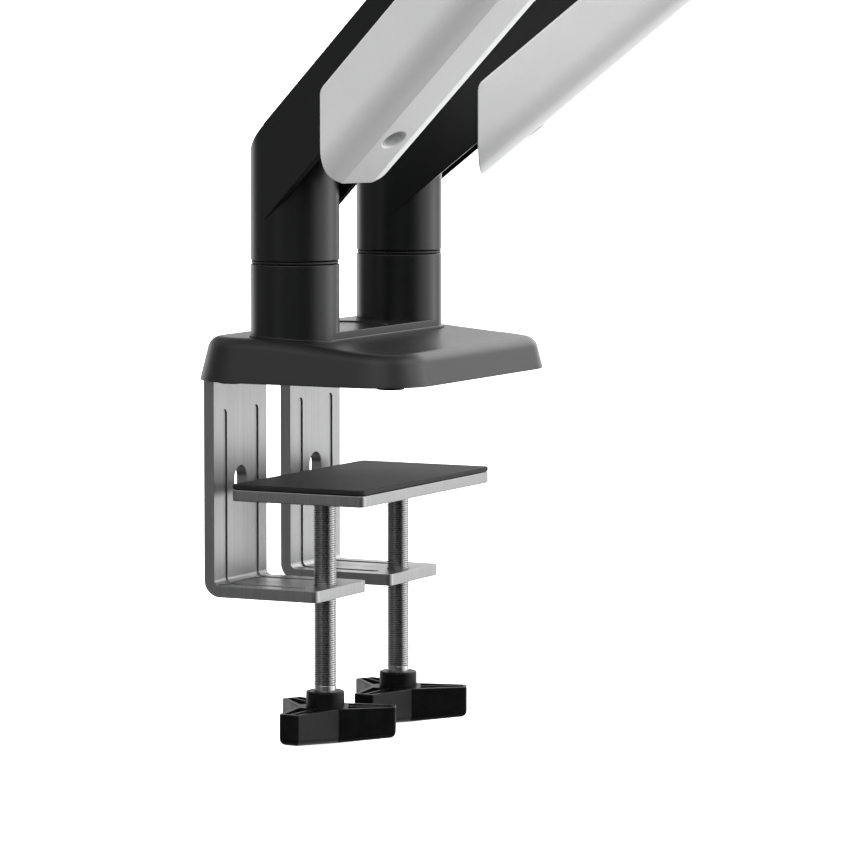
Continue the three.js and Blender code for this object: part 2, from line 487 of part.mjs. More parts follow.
function headYoke() {
  const x = PIVOT_X + UPPER_L, p = x + PAN_X;
  return cut(join(cheeks(x, -1), cylZ(15, PIVOT_Z - 14, PIVOT_Z + 14, p, 0, 28)),
    box(x - 20, p - 13, -7.5, 7.5, 200, 340), cylZ(6.3, 200, 340, p, 0, 20));
}
function panKnuckle() {         // pan axis at the local origin, height measured from the pivot line
  return join(cylZ(15, 14.6, 40, 0, 0, 28), cylZ(6, -13.6, 16, 0, 0, 20),
    cylY(10, -12, 12, TILT_X, TILT_Z, 24), box(5, TILT_X, -10, 10, TILT_Z - 8, TILT_Z + 8))
    .subtract(cylY(4.3, -20, 20, TILT_X, TILT_Z, 16));
}
function tiltHead() {
  const x = TILT_X, z = TILT_Z;
  const ear = (y0, y1) => join(cylY(11, y0, y1, x, z, 24), box(x, x + 18, y0, y1, z - 11, z + 11));
  return cut(join(ear(12.5, 17.5), ear(-17.5, -12.5), box(x + 16, x + 22, -20, 20, z - 20, z + 20), cylX(8, x + 21, x + 27.4, 0, z, 24)),
    cylY(4.3, -30, 30, x, z, 16));
}
function vesaPlate() {
  const x = TILT_X + 28, z = TILT_Z, h = PLATE_HALF;
  const g = new THREE.ExtrudeGeometry(shapeOf(roundRect(h, h, 8, 4)), { depth: 3, bevelEnabled: false });
  g.applyMatrix4(new THREE.Matrix4().set(0, 0, 1, x, 1, 0, 0, 0, 0, 1, 0, z, 0, 0, 0, 1));
  let p = join(solid(g), cylX(18, x - 5.4, x + 0.5, 0, z, 28).subtract(cylX(8.4, x - 9, x - 0.3, 0, z, 24)));
  for (const d of [37.5, 50]) for (const a of [-1, 1]) for (const b of [-1, 1]) p = p.subtract(cylX(2.4, x - 9, x + 9, a * d, z + b * d, 8));
  // weight-saving windows beside the hub
  for (const a of [-1, 1]) p = p.subtract(box(x - 1, x + 9, a * 33 - 7, a * 33 + 7, z - 18, z + 18));
  return p;
}

for (const [s, side] of [[-1, 'left'], [1, 'right']]) {
  const lower = new THREE.Group();
  lower.position.set(s * POST_X, POST_Y, 0);
  lower.rotation.z = (s * HEADING - 90) * Math.PI / 180;
  model.add(lower);
  place(lower, `${side}_base_ring`, cylZ(POST_R - 0.3, RING_Z0, RING_Z1, 0, 0, 36).subtract(cylZ(7, 40, 60, 0, 0, 20)), BLACK_MOULD);
  place(lower, `${side}_base_bolt`, join(cylZ(6, 13.5, 88, 0, 0, 20), cylZ(10.5, 6, 13.7, 0, 0, 6)), ZINC);
  place(lower, `${side}_lower_arm`, lowerArm(), BLACK_CAST);
  place(lower, `${side}_lower_cover`, lowerCover(), SILVER_WHITE);
  place(lower, `${side}_cover_screw`, join(cylN(4.2, -38.6, -35.1, SCREW_U, 18), cylN(2, -36, -19, SCREW_U, 12)), ZINC);

  const upper = new THREE.Group();
  upper.position.set(ELBOW_S, 0, 0);
  upper.rotation.z = s * UPPER_TURN * Math.PI / 180;
  lower.add(upper);
  const L = UPPER_L, x0 = PIVOT_X, zt = PIVOT_Z, zl = PIVOT_Z - LINK_DROP;
  place(upper, `${side}_elbow_bolt`, join(cylZ(6, 261, 309, 0, 0, 20), cylZ(11, 252, 262, 0, 0, 6)), ZINC);
  place(upper, `${side}_elbow_yoke`, elbowYoke(), BLACK_CAST);
  place(upper, `${side}_upper_arm`, upperArm(), BLACK_CAST);
  place(upper, `${side}_upper_cover`, upperCover(), SILVER_WHITE);
  place(upper, `${side}_lower_link`, lowerLink(), BLACK_CAST);
  place(upper, `${side}_elbow_pin_upper`, cylY(4, -20.8, 20.8, x0, zt, 16), STEEL);
  place(upper, `${side}_elbow_pin_lower`, cylY(3, -17.7, 17.7, x0, zl, 12), STEEL);
  place(upper, `${side}_head_pin_upper`, cylY(4, -20.8, 20.8, x0 + L, zt, 16), STEEL);
  place(upper, `${side}_head_pin_lower`, cylY(3, -17.7, 17.7, x0 + L, zl, 12), STEEL);
  place(upper, `${side}_gas_spring_barrel`, springBarrel(), BLACK_CAST);
  place(upper, `${side}_gas_spring_rod`, springRod(), ZINC);
  place(upper, `${side}_head_yoke`, headYoke(), BLACK_CAST);

  const head = new THREE.Group();
  head.position.set(PIVOT_X + L + PAN_X, 0, PIVOT_Z);
  head.rotation.z = -s * (HEADING + UPPER_TURN) * Math.PI / 180;
  upper.add(head);
  place(head, `${side}_pan_knuckle`, panKnuckle(), BLACK_CAST);
  place(head, `${side}_tilt_bolt`, join(cylY(4, -18.5, 18.5, TILT_X, TILT_Z, 16), cylY(6.5, 17.8, 22, TILT_X, TILT_Z, 6), cylY(6.5, -22, -17.8, TILT_X, TILT_Z, 16)), ZINC);
  place(head, `${side}_tilt_head`, tiltHead(), BLACK_CAST);
  place(head, `${side}_vesa_plate`, vesaPlate(), BLACK_CAST);
}

export default model;
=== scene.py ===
import math

import bmesh
import bpy
from mathutils import Matrix, Vector


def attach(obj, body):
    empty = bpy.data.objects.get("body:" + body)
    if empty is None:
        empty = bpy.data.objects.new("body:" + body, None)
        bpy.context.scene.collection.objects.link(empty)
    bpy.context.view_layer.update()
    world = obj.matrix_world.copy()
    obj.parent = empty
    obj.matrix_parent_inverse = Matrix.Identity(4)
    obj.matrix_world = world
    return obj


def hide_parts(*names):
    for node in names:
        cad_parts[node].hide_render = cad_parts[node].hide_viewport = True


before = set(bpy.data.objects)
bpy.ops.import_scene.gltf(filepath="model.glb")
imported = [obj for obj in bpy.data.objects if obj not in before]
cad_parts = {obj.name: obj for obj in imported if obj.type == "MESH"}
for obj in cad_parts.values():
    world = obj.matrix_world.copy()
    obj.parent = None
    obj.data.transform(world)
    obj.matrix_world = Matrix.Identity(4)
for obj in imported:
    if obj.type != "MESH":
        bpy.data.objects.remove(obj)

scene = bpy.context.scene
MM = 0.001
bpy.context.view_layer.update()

# ------------------------------------------------------------------ sizes, mm
BASE_X, BASE_Y, BASE_CORNER = 156.0, 111.0, 25.0
TOP_BACK, TOP_FRONT = 19.3, 14.4
DRAFT = math.tan(math.radians(14))
POST_X, POST_Y, POST_R = 50.0, 13.0, 19.4
STUB_TOP, RING_Z0, RING_Z1, ARM_Z0 = 51.2, 51.5, 52.5, 52.8
RIM_R, RIM_TOP, RIM_SLOPE, RECESS_DEPTH, DISC_R = 19.9, 21.4, 0.8 / 38.8, 0.6, 17.5
CLAMP_X, CLAMP_Y = 35.4, 6.2
BRK_W, BRK_T, BRK_BACK, BRK_BOT, BRK_FRONT = 48.4, 5.2, 53.75, -96.7, -2.3
BEND_OUT, BEND_IN, FLANGE_Z0, FLANGE_FRONT = 7.5, 2.4, 2.8, 34.2
PAD_TOP, PAD_T, PLATE_TOP, PLATE_T = -45.9, 2.1, -48.3, 5.0
PLATE_HX, PLATE_Y0, PLATE_Y1, PLATE_R = 62.6, -26.9, 38.6, 2.6
ROD_R, KNOB_TOP, KNOB_H, COLLAR_TOP, COLLAR_R = 5.0, -145.5, 15.5, -138.5, 8.5
KNOB_TIP, KNOB_TIP_W, KNOB_NOTCH, KNOB_DIR = 31.3, 9.5, 12.3, -63.2
HEADING, SLOPE, ARM_TOP = 18.6, math.radians(39.86), 111.84
BODY_V, COVER_V0, COVER_V1, COVER_W, COVER_T = -32.2, -12.4, -44.0, 44.0, 2.2
COVER_CORNER = [(22, 12), (21.75, 9.6), (21.0, 7.3), (19.6, 5.0), (17.4, 3.0), (14.4, 1.55), (11.2, 0.6), (8.8, 0)]
ELBOW_S, SCREW_U, ELBOW_TOP = 200.0, 44.2, 284.0
CHANNEL_V, CHANNEL_WALL = -14.0, 2.6
COVER_S0, COVER_S1 = 38.9, 200.0 - 38.9
UPPER_TURN = 31.4
PIVOT_X, PIVOT_Z, LINK_DROP, UPPER_L = 34.0, 303.0, 31.0, 230.0
PAN_X, TILT_X, TILT_Z, PLATE_HALF = 32.0, 30.0, 27.0, 58.0

# ------------------------------------------------------------------ mesh tools
def obj_from(name, verts, faces):
    me = bpy.data.meshes.new(name)
    me.from_pydata([tuple(v) for v in verts], [], [tuple(f) for f in faces])
    me.validate()
    me.update()
    o = bpy.data.objects.new(name, me)
    scene.collection.objects.link(o)
    return o


def drop(o):
    me = o.data
    bpy.data.objects.remove(o)
    if me.users == 0:
        bpy.data.meshes.remove(me)


def bake(o):
    bpy.context.view_layer.update()
    dg = bpy.context.evaluated_depsgraph_get()
    me = bpy.data.meshes.new_from_object(o.evaluated_get(dg))
    old = o.data
    o.modifiers.clear()
    o.data = me
    if old.users == 0:
        bpy.data.meshes.remove(old)
    return o


def tidy(o, dist=1e-4, angle=0.35):
    bm = bmesh.new()
    bm.from_mesh(o.data)
    bmesh.ops.remove_doubles(bm, verts=bm.verts, dist=dist)
    bmesh.ops.dissolve_degenerate(bm, edges=bm.edges, dist=dist)
    if angle:
        bmesh.ops.dissolve_limit(bm, angle_limit=math.radians(angle), verts=bm.verts, edges=bm.edges)
    bmesh.ops.recalc_face_normals(bm, faces=bm.faces)
    bm.to_mesh(o.data)
    bm.free()
    return o


def boolean(a, op, *others):
    for b in others:
        m = a.modifiers.new("b", "BOOLEAN")
        m.operation = op
        m.object = b
        m.solver = "MANIFOLD"
    bake(a)
    for b in others:
        drop(b)
    return a


def join(a, *others):
    return boolean(a, "UNION", *others)


def merge(a, *others):
    """Closed shells put together in one mesh, uncut."""
    bm = bmesh.new()
    for o in (a, *others):
        bm.from_mesh(o.data)
    bm.to_mesh(a.data)
    bm.free()
    for o in others:
        drop(o)
    return a


def cut(a, *others):
    return boolean(a, "DIFFERENCE", *others)


def common(a, *others):
    return boolean(a, "INTERSECT", *others)


def bevel(o, width, segments=3, angle=45, clean=0.35):
    """Rounds the outward edges that turn by more than angle degrees."""
    tidy(o, angle=clean)
    bm = bmesh.new()
    bm.from_mesh(o.data)
    weight = bm.edges.layers.float.new("bevel_weight_edge")
    lim = math.radians(angle)
    for e in bm.edges:
        e[weight] = 1.0 if len(e.link_faces) == 2 and e.is_convex and e.calc_face_angle(0) > lim else 0.0
    bm.to_mesh(o.data)
    bm.free()
    m = o.modifiers.new("bevel", "BEVEL")
    m.width = width
    m.segments = segments
    m.limit_method = "WEIGHT"
    m.use_clamp_overlap = False
    m.miter_outer = "MITER_SHARP"
    bake(o)
    return o


def loft(name, rings, closed=False, cap=True):
    """A skin over rings that have the same number of points; closed joins the last ring to the first."""
    n = len(rings[0])
    verts = [p for r in rings for p in r]
    faces = []
    k = len(rings)
    for a in range(k if closed else k - 1):
        b = (a + 1) % k
        for i in range(n):
            j = (i + 1) % n
            faces.append((a * n + i, a * n + j, b * n + j, b * n + i))
    if cap and not closed:
        faces.append(tuple(range(n - 1, -1, -1)))
        faces.append(tuple((k - 1) * n + i for i in range(n)))
    o = obj_from(name, verts, faces)
    bm = bmesh.new()
    bm.from_mesh(o.data)
    bmesh.ops.recalc_face_normals(bm, faces=bm.faces)
    bm.to_mesh(o.data)
    bm.free()
    return o


def arc(cx, cy, r, a0, a1, n):
    return [(cx + r * math.cos(math.radians(a0 + (a1 - a0) * i / n)), cy + r * math.sin(math.radians(a0 + (a1 - a0) * i / n))) for i in range(n + 1)]


def round_rect(hx, hy, r, n, cx=0.0, cy=0.0):
    return (arc(cx + hx - r, cy + hy - r, r, 0, 90, n) + arc(cx - hx + r, cy + hy - r, r, 90, 180, n)
            + arc(cx - hx + r, cy - hy + r, r, 180, 270, n) + arc(cx + hx - r, cy - hy + r, r, 270, 360, n))


def stadium(half, r, n, cy):
    return arc(half, cy, r, -90, 90, n) + arc(-half, cy, r, 90, 270, n)


def corner(p, c, q, r, n):
    """Points that round the corner c of a polyline p, c, q."""
    p, c, q = Vector(p), Vector(c), Vector(q)
    d1, d2 = (p - c).normalized(), (q - c).normalized()
    half = math.acos(max(-1, min(1, d1.dot(d2)))) / 2
    t = r / math.tan(half)
    a, b = c + d1 * t, c + d2 * t
    o = c + (d1 + d2).normalized() * r / math.sin(half)
    a0, a1 = math.atan2(a.y - o.y, a.x - o.x), math.atan2(b.y - o.y, b.x - o.x)
    while a1 - a0 > math.pi:
        a1 -= 2 * math.pi
    while a1 - a0 < -math.pi:
        a1 += 2 * math.pi
    return [(o.x + r * math.cos(a0 + (a1 - a0) * i / n), o.y + r * math.sin(a0 + (a1 - a0) * i / n)) for i in range(n + 1)]


def clean_loop(pts, eps=1e-4):
    out = []
    for p in pts:
        if not out or math.hypot(p[0] - out[-1][0], p[1] - out[-1][1]) > eps:
            out.append(tuple(p))
    if math.hypot(out[0][0] - out[-1][0], out[0][1] - out[-1][1]) <= eps:
        out.pop()
    return out


def area2(pts):
    return sum(pts[i][0] * pts[(i + 1) % len(pts)][1] - pts[(i + 1) % len(pts)][0] * pts[i][1] for i in range(len(pts)))


def inset(pts, d):
    """A counter-clockwise outline moved inwards by d."""
    out, n = [], len(pts)
    for i in range(n):
        a, b, c = Vector(pts[i - 1]), Vector(pts[i]), Vector(pts[(i + 1) % n])
        e1, e2 = (b - a).normalized(), (c - b).normalized()
        n1, n2 = Vector((-e1.y, e1.x)), Vector((-e2.y, e2.x))
        m = n1 + n2
        k = 2.0 / max(m.length_squared, 0.6)
        out.append(tuple(b + m * k * d))
    return out


def rprism(name, pts, z0, z1, r0=0.0, r1=0.0, n=4):
    """An outline raised from z0 to z1, its bottom edge rounded by r0 and its top edge by r1."""
    pts = clean_loop(pts)
    if area2(pts) < 0:
        pts = pts[::-1]
    rings = []
    if r0 > 0:
        for i in range(n + 1):
            a = math.pi / 2 * i / n
            rings.append([(x, y, z0 + r0 * (1 - math.sin(a))) for x, y in inset(pts, r0 * (1 - math.cos(a)))])
        rings.reverse()
        rings = rings
    else:
        rings.append([(x, y, z0) for x, y in pts])
    if r1 > 0:
        for i in range(n + 1):
            a = math.pi / 2 * i / n
            rings.append([(x, y, z1 - r1 * (1 - math.sin(a))) for x, y in inset(pts, r1 * (1 - math.cos(a)))])
    else:
        rings.append([(x, y, z1) for x, y in pts])
    return loft(name, rings)


def lathe(name, prof, n=64, origin=(0, 0, 0), axis="Z"):
    """A closed turned solid: prof is [(r, h), ...] from one end of the axis to the other."""
    verts, faces = [], []
    first, last = prof[0], prof[-1]
    inner = [p for p in prof if p[0] > 1e-9]
    for r, h in inner:
        for i in range(n):
            a = 2 * math.pi * i / n
            verts.append((r * math.cos(a), r * math.sin(a), h))
    for k in range(len(inner) - 1):
        for i in range(n):
            j = (i + 1) % n
            faces.append((k * n + i, k * n + j, (k + 1) * n + j, (k + 1) * n + i))
    faces.append(tuple(range(n - 1, -1, -1)))
    faces.append(tuple((len(inner) - 1) * n + i for i in range(n)))
    o = obj_from(name, verts, faces)
    bm = bmesh.new()
    bm.from_mesh(o.data)
    bmesh.ops.recalc_face_normals(bm, faces=bm.faces)
    bm.to_mesh(o.data)
    bm.free()
    rot = {"Z": Matrix.Identity(4), "X": Matrix.Rotation(math.pi / 2, 4, "Y"), "Y": Matrix.Rotation(-math.pi / 2, 4, "X")}[axis]
    o.data.transform(Matrix.Translation(Vector(origin)) @ rot)
    return o


def rod(name, r, h0, h1, origin=(0, 0, 0), axis="Z", e0=0.0, e1=0.0, n=64, k=3):
    """A round bar from h0 to h1 along axis, its end edges rounded by e0 and e1."""
    prof = []
    if e0 > 0:
        prof += [(r - e0 * (1 - math.sin(math.pi / 2 * i / k)), h0 + e0 * (1 - math.cos(math.pi / 2 * i / k))) for i in range(k + 1)]
    else:
        prof.append((r, h0))
    if e1 > 0:
        prof += [(r - e1 * (1 - math.cos(math.pi / 2 * i / k)), h1 - e1 * (1 - math.sin(math.pi / 2 * i / k))) for i in range(k + 1)]
    else:
        prof.append((r, h1))
    return lathe(name, prof, n, origin, axis)


def tube_cut(r, h0, h1, origin=(0, 0, 0), axis="Z", n=48):
    return rod("cutter", r, h0, h1, origin, axis, n=n)


def box(x0, x1, y0, y1, z0, z1):
    v = [(x, y, z) for x in (x0, x1) for y in (y0, y1) for z in (z0, z1)]
    f = [(0, 1, 3, 2), (4, 6, 7, 5), (0, 4, 5, 1), (2, 3, 7, 6), (0, 2, 6, 4), (1, 5, 7, 3)]
    o = obj_from("block", v, f)
    bm = bmesh.new()
    bm.from_mesh(o.data)
    bmesh.ops.recalc_face_normals(bm, faces=bm.faces)
    bm.to_mesh(o.data)
    bm.free()
    return o


def turned(o, m):
    o.data.transform(m)
    if m.determinant() < 0:
        o.data.flip_normals()
    return o


# outline (x, z) carried along y; outline (y, z) carried along x
TO_Y = Matrix(((1, 0, 0, 0), (0, 0, -1, 0), (0, 1, 0, 0), (0, 0, 0, 1)))
TO_X = Matrix(((0, 0, 1, 0), (1, 0, 0, 0), (0, 1, 0, 0), (0, 0, 0, 1)))


def prism_y(name, pts, y0, y1, r=0.0, n=3):
    return turned(rprism(name, pts, -y1, -y0, r, r, n), TO_Y)


def prism_x(name, pts, x0, x1, r=0.0, n=3):
    return turned(rprism(name, pts, x0, x1, r, r, n), TO_X)


def finish_mesh(o, sharp=38):
    """Smooth shading with face-weighted normals, split where faces meet at more than sharp degrees; millimetres become metres."""
    me = o.data
    me.transform(Matrix.Scale(MM, 4))
    bm = bmesh.new()
    bm.from_mesh(me)
    bmesh.ops.remove_doubles(bm, verts=bm.verts, dist=2e-8)
    lim = math.radians(sharp)
    for f in bm.faces:
        f.smooth = True
    for e in bm.edges:
        e.smooth = not (len(e.link_faces) == 2 and e.calc_face_angle(0) > lim)
    bm.to_mesh(me)
    bm.free()
    m = o.modifiers.new("wn", "WEIGHTED_NORMAL")
    m.keep_sharp = True
    m.weight = 60
    bake(o)
    return o


# ------------------------------------------------------------------ materials
def ramp(nt, fac, stops):
    r = nt.nodes.new("ShaderNodeValToRGB")
    els = r.color_ramp.elements
    while len(els) < len(stops):
        els.new(0.5)
    for e, (p, c) in zip(els, stops):
        e.position = p
        e.color = (c[0], c[1], c[2], 1) if hasattr(c, "__len__") else (c, c, c, 1)
    nt.links.new(fac, r.inputs["Fac"])
    return r.outputs["Color"]


def noise(nt, vec, scale, detail=3.0, rough=0.5, dist=0.0):
    t = nt.nodes.new("ShaderNodeTexNoise")
    t.inputs["Scale"].default_value = scale
    t.inputs["Detail"].default_value = detail
    t.inputs["Roughness"].default_value = rough
    t.inputs["Distortion"].default_value = dist
    nt.links.new(vec, t.inputs["Vector"])
    return t.outputs["Fac"]


def mapping(nt, vec, scale):
    m = nt.nodes.new("ShaderNodeMapping")
    m.inputs["Scale"].default_value = scale
    nt.links.new(vec, m.inputs["Vector"])
    return m.outputs["Vector"]


def calc(nt, op, a, b=None, c=None):
    m = nt.nodes.new("ShaderNodeMath")
    m.operation = op
    for i, x in enumerate((a, b, c)):
        if x is None:
            continue
        if hasattr(x, "is_output"):
            nt.links.new(x, m.inputs[i])
        else:
            m.inputs[i].default_value = x
    return m.outputs[0]


def bump(nt, height, strength, distance, normal=None):
    b = nt.nodes.new("ShaderNodeBump")
    b.inputs["Strength"].default_value = strength
    b.inputs["Distance"].default_value = distance
    nt.links.new(height, b.inputs["Height"])
    if normal is not None:
        nt.links.new(normal, b.inputs["Normal"])
    return b.outputs["Normal"]


def material(name, dark, light, rough, metal=0.0, spec=0.5, grain=1400.0, grain_h=0.00002, grain_s=0.35,
             wear=0.0, streak=None, coat=0.0, coat_rough=0.2, rough_var=0.06, blotch=28.0, speck=None, aniso=0.0, painted_flank_shade=0.0):
    """A finish with a fine grain, slow colour and gloss drift, lighter edges where wear is above 0, and painted shade
    on the sloping sides of a thread where painted_flank_shade is above 0.
    """
    m = bpy.data.materials.new(name + "_finish")
    m.use_nodes = True
    nt = m.node_tree
    p = nt.nodes["Principled BSDF"]
    p.inputs["Metallic"].default_value = metal
    p.inputs["Specular IOR Level"].default_value = spec
    if coat:
        p.inputs["Coat Weight"].default_value = coat
        p.inputs["Coat Roughness"].default_value = coat_rough
    if aniso:
        p.inputs["Anisotropic"].default_value = aniso
    co = nt.nodes.new("ShaderNodeTexCoord").outputs["Object"]
    slow = noise(nt, co, blotch, 4.0, 0.55)
    fine = noise(nt, co, grain, 2.0, 0.6)
    mid = noise(nt, co, grain * 0.22, 3.0, 0.6)
    drift = calc(nt, "MULTIPLY_ADD", slow, 0.6, calc(nt, "MULTIPLY", mid, 0.4))
    if streak:
        lines = noise(nt, mapping(nt, co, streak), 1.0, 4.0, 0.65)
        drift = calc(nt, "MULTIPLY_ADD", drift, 0.35, calc(nt, "MULTIPLY", lines, 0.65))
    colour = ramp(nt, drift, [(0.3, dark), (0.7, light)])
    if speck:
        sp = nt.nodes.new("ShaderNodeTexVoronoi")
        sp.inputs["Scale"].default_value = speck[0]
        nt.links.new(co, sp.inputs["Vector"])
        mask = ramp(nt, sp.outputs["Distance"], [(speck[1] * 0.7, 1.0), (speck[1], 0.0)])
        mix = nt.nodes.new("ShaderNodeMix")
        mix.data_type = "RGBA"
        nt.links.new(mask, mix.inputs["Factor"])
        nt.links.new(colour, mix.inputs["A"])
        mix.inputs["B"].default_value = (*speck[2], 1)
        colour = mix.outputs["Result"]
    if wear > 0:
        geo = nt.nodes.new("ShaderNodeNewGeometry")
        edge = ramp(nt, geo.outputs["Pointiness"], [(0.52, 0.0), (0.60, 1.0)])
        fac = calc(nt, "MULTIPLY", calc(nt, "MULTIPLY", edge, calc(nt, "MULTIPLY_ADD", mid, 0.8, 0.4)), wear)
        mix = nt.nodes.new("ShaderNodeMix")
        mix.data_type = "RGBA"
        nt.links.new(fac, mix.inputs["Factor"])
        nt.links.new(colour, mix.inputs["A"])
        mix.inputs["B"].default_value = (min(1, light[0] * 2.2 + 0.03), min(1, light[1] * 2.2 + 0.03), min(1, light[2] * 2.2 + 0.03), 1)
        colour = mix.outputs["Result"]
    if painted_flank_shade:
        # painted shade: the sloping sides of a thread are made darker than its crest, standing in for the shade they
        # catch
        n = nt.nodes.new("ShaderNodeNewGeometry").outputs["True Normal"]
        xyz = nt.nodes.new("ShaderNodeSeparateXYZ")
        nt.links.new(n, xyz.inputs[0])
        side = ramp(nt, calc(nt, "ABSOLUTE", xyz.outputs["Z"]), [(0.2, 1.0), (0.75, 1.0 - painted_flank_shade)])
        mix = nt.nodes.new("ShaderNodeMix")
        mix.data_type = "RGBA"
        mix.blend_type = "MULTIPLY"
        mix.inputs["Factor"].default_value = 1.0
        nt.links.new(colour, mix.inputs["A"])
        nt.links.new(side, mix.inputs["B"])
        colour = mix.outputs["Result"]
    nt.links.new(colour, p.inputs["Base Color"])
    rv = calc(nt, "MULTIPLY_ADD", calc(nt, "ADD", drift, -0.5), rough_var * 2, rough)
    nt.links.new(rv, p.inputs["Roughness"])
    h = fine
    if streak:
        h = calc(nt, "MULTIPLY_ADD", lines, 0.7, calc(nt, "MULTIPLY", fine, 0.3))
    nt.links.new(bump(nt, h, grain_s, grain_h), p.inputs["Normal"])
    return m


MAT = {
    "silver_white_shell": material("silver_white_shell", (0.845, 0.848, 0.855), (0.90, 0.90, 0.904), 0.38, 0.0, 0.5, 1700, 0.000012, 0.25, speck=(2600, 0.16, (0.93, 0.93, 0.935)), rough_var=0.04, blotch=14),
    "base_moulding": material("base_moulding", (0.0073, 0.0075, 0.0079), (0.0103, 0.0106, 0.0111), 0.38, 0.0, 0.32, 1500, 0.00003, 0.4, wear=0.2),
    "black_trim": material("black_trim", (0.0060, 0.0062, 0.0065), (0.0092, 0.0094, 0.0098), 0.45, 0.0, 0.32, 1500, 0.00003, 0.4),
    "rubber": material("rubber", (0.006, 0.006, 0.0062), (0.011, 0.011, 0.0112), 0.82, 0.0, 0.25, 900, 0.00006, 0.6),
    "pad_foam": material("pad_foam", (0.0100, 0.0100, 0.0104), (0.0185, 0.0185, 0.0191), 0.62, 0.0, 0.21, 750, 0.00010, 0.7, speck=(900, 0.2, (0.028, 0.028, 0.029)), blotch=40),
    "satin_alloy": material("satin_alloy", (0.245, 0.245, 0.248), (0.322, 0.322, 0.325), 0.36, 1.0, 0.5, 1600, 0.00001, 0.3, streak=(900, 900, 14), rough_var=0.07, aniso=0.3),
    # the thread's flanks carry painted shade (painted_flank_shade)
    "zinc_thread": material("zinc_thread", (0.36, 0.36, 0.362), (0.43, 0.43, 0.433), 0.30, 1.0, 0.5, 1300, 0.000003, 0.15, blotch=60, rough_var=0.03, painted_flank_shade=0.8),
    "knob_plastic": material("knob_plastic", (0.0016, 0.0017, 0.0018), (0.0047, 0.0048, 0.0050), 0.42, 0.0, 0.125, 520, 0.00006, 0.55, blotch=210, rough_var=0.14),
    "bare_steel": material("bare_steel", (0.22, 0.22, 0.223), (0.32, 0.32, 0.324), 0.36, 1.0, 0.5, 1300, 0.00001, 0.3, streak=(40, 900, 900)),
    "zinc_steel": material("zinc_steel", (0.32, 0.32, 0.323), (0.44, 0.44, 0.444), 0.28, 1.0, 0.5, 1300, 0.00001, 0.3, blotch=80),
    "black_casting": material("black_casting", (0.0049, 0.0051, 0.0055), (0.0071, 0.0074, 0.0079), 0.33, 0.0, 0.32, 1500, 0.00003, 0.4, wear=0.15),
}

# ------------------------------------------------------------------ placing
def place(o, node, body, slot, name=None, matrix=None, sharp=38, mats=None):
    if matrix is not None:
        o.data.transform(matrix)
    finish_mesh(o, sharp)
    o.name = name or node + "_shape"
    o.data.name = o.name
    o.data.materials.clear()
    o.data.materials.append(MAT[slot])
    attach(o, body)
    if node:
        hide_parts(node)
    return o


def copy_of(o):
    c = o.copy()
    c.data = o.data.copy()
    scene.collection.objects.link(c)
    return c


# ------------------------------------------------------------------ base cover
def base_top(y):
    t = min(1.0, max(0.0, (y + 48) / 76))
    return TOP_FRONT + (TOP_BACK - TOP_FRONT) * t * t * (3 - 2 * t)


def base_outline():
    """Points and outward normals around the foot of the cover."""
    hx, hy, r = BASE_X / 2, BASE_Y / 2, BASE_CORNER
    cx, cy = hx - r, hy - r
    pts = []
    nc, nx, ny = 16, 30, 26
    for i in range(nc):
        a = math.pi / 2 * i / nc
        pts.append((cx + r * math.cos(a), cy + r * math.sin(a), math.cos(a), math.sin(a)))
    for i in range(nx):
        pts.append((cx - 2 * cx * i / nx, hy, 0, 1))
    for i in range(nc):
        a = math.pi / 2 * (1 + i / nc)
        pts.append((-cx + r * math.cos(a), cy + r * math.sin(a), math.cos(a), math.sin(a)))
    for i in range(ny):
        pts.append((-hx, cy - 2 * cy * i / ny, -1, 0))
    for i in range(nc):
        a = math.pi * (1 + 0.5 * i / nc)
        pts.append((-cx + r * math.cos(a), -cy + r * math.sin(a), math.cos(a), math.sin(a)))
    for i in range(nx):
        pts.append((-cx + 2 * cx * i / nx, -hy, 0, -1))
    for i in range(nc):
        a = math.pi * (1.5 + 0.5 * i / nc)
        pts.append((cx + r * math.cos(a), -cy + r * math.sin(a), math.cos(a), math.sin(a)))
    for i in range(ny):
        pts.append((hx, -cy + 2 * cy * i / ny, 1, 0))
    return pts


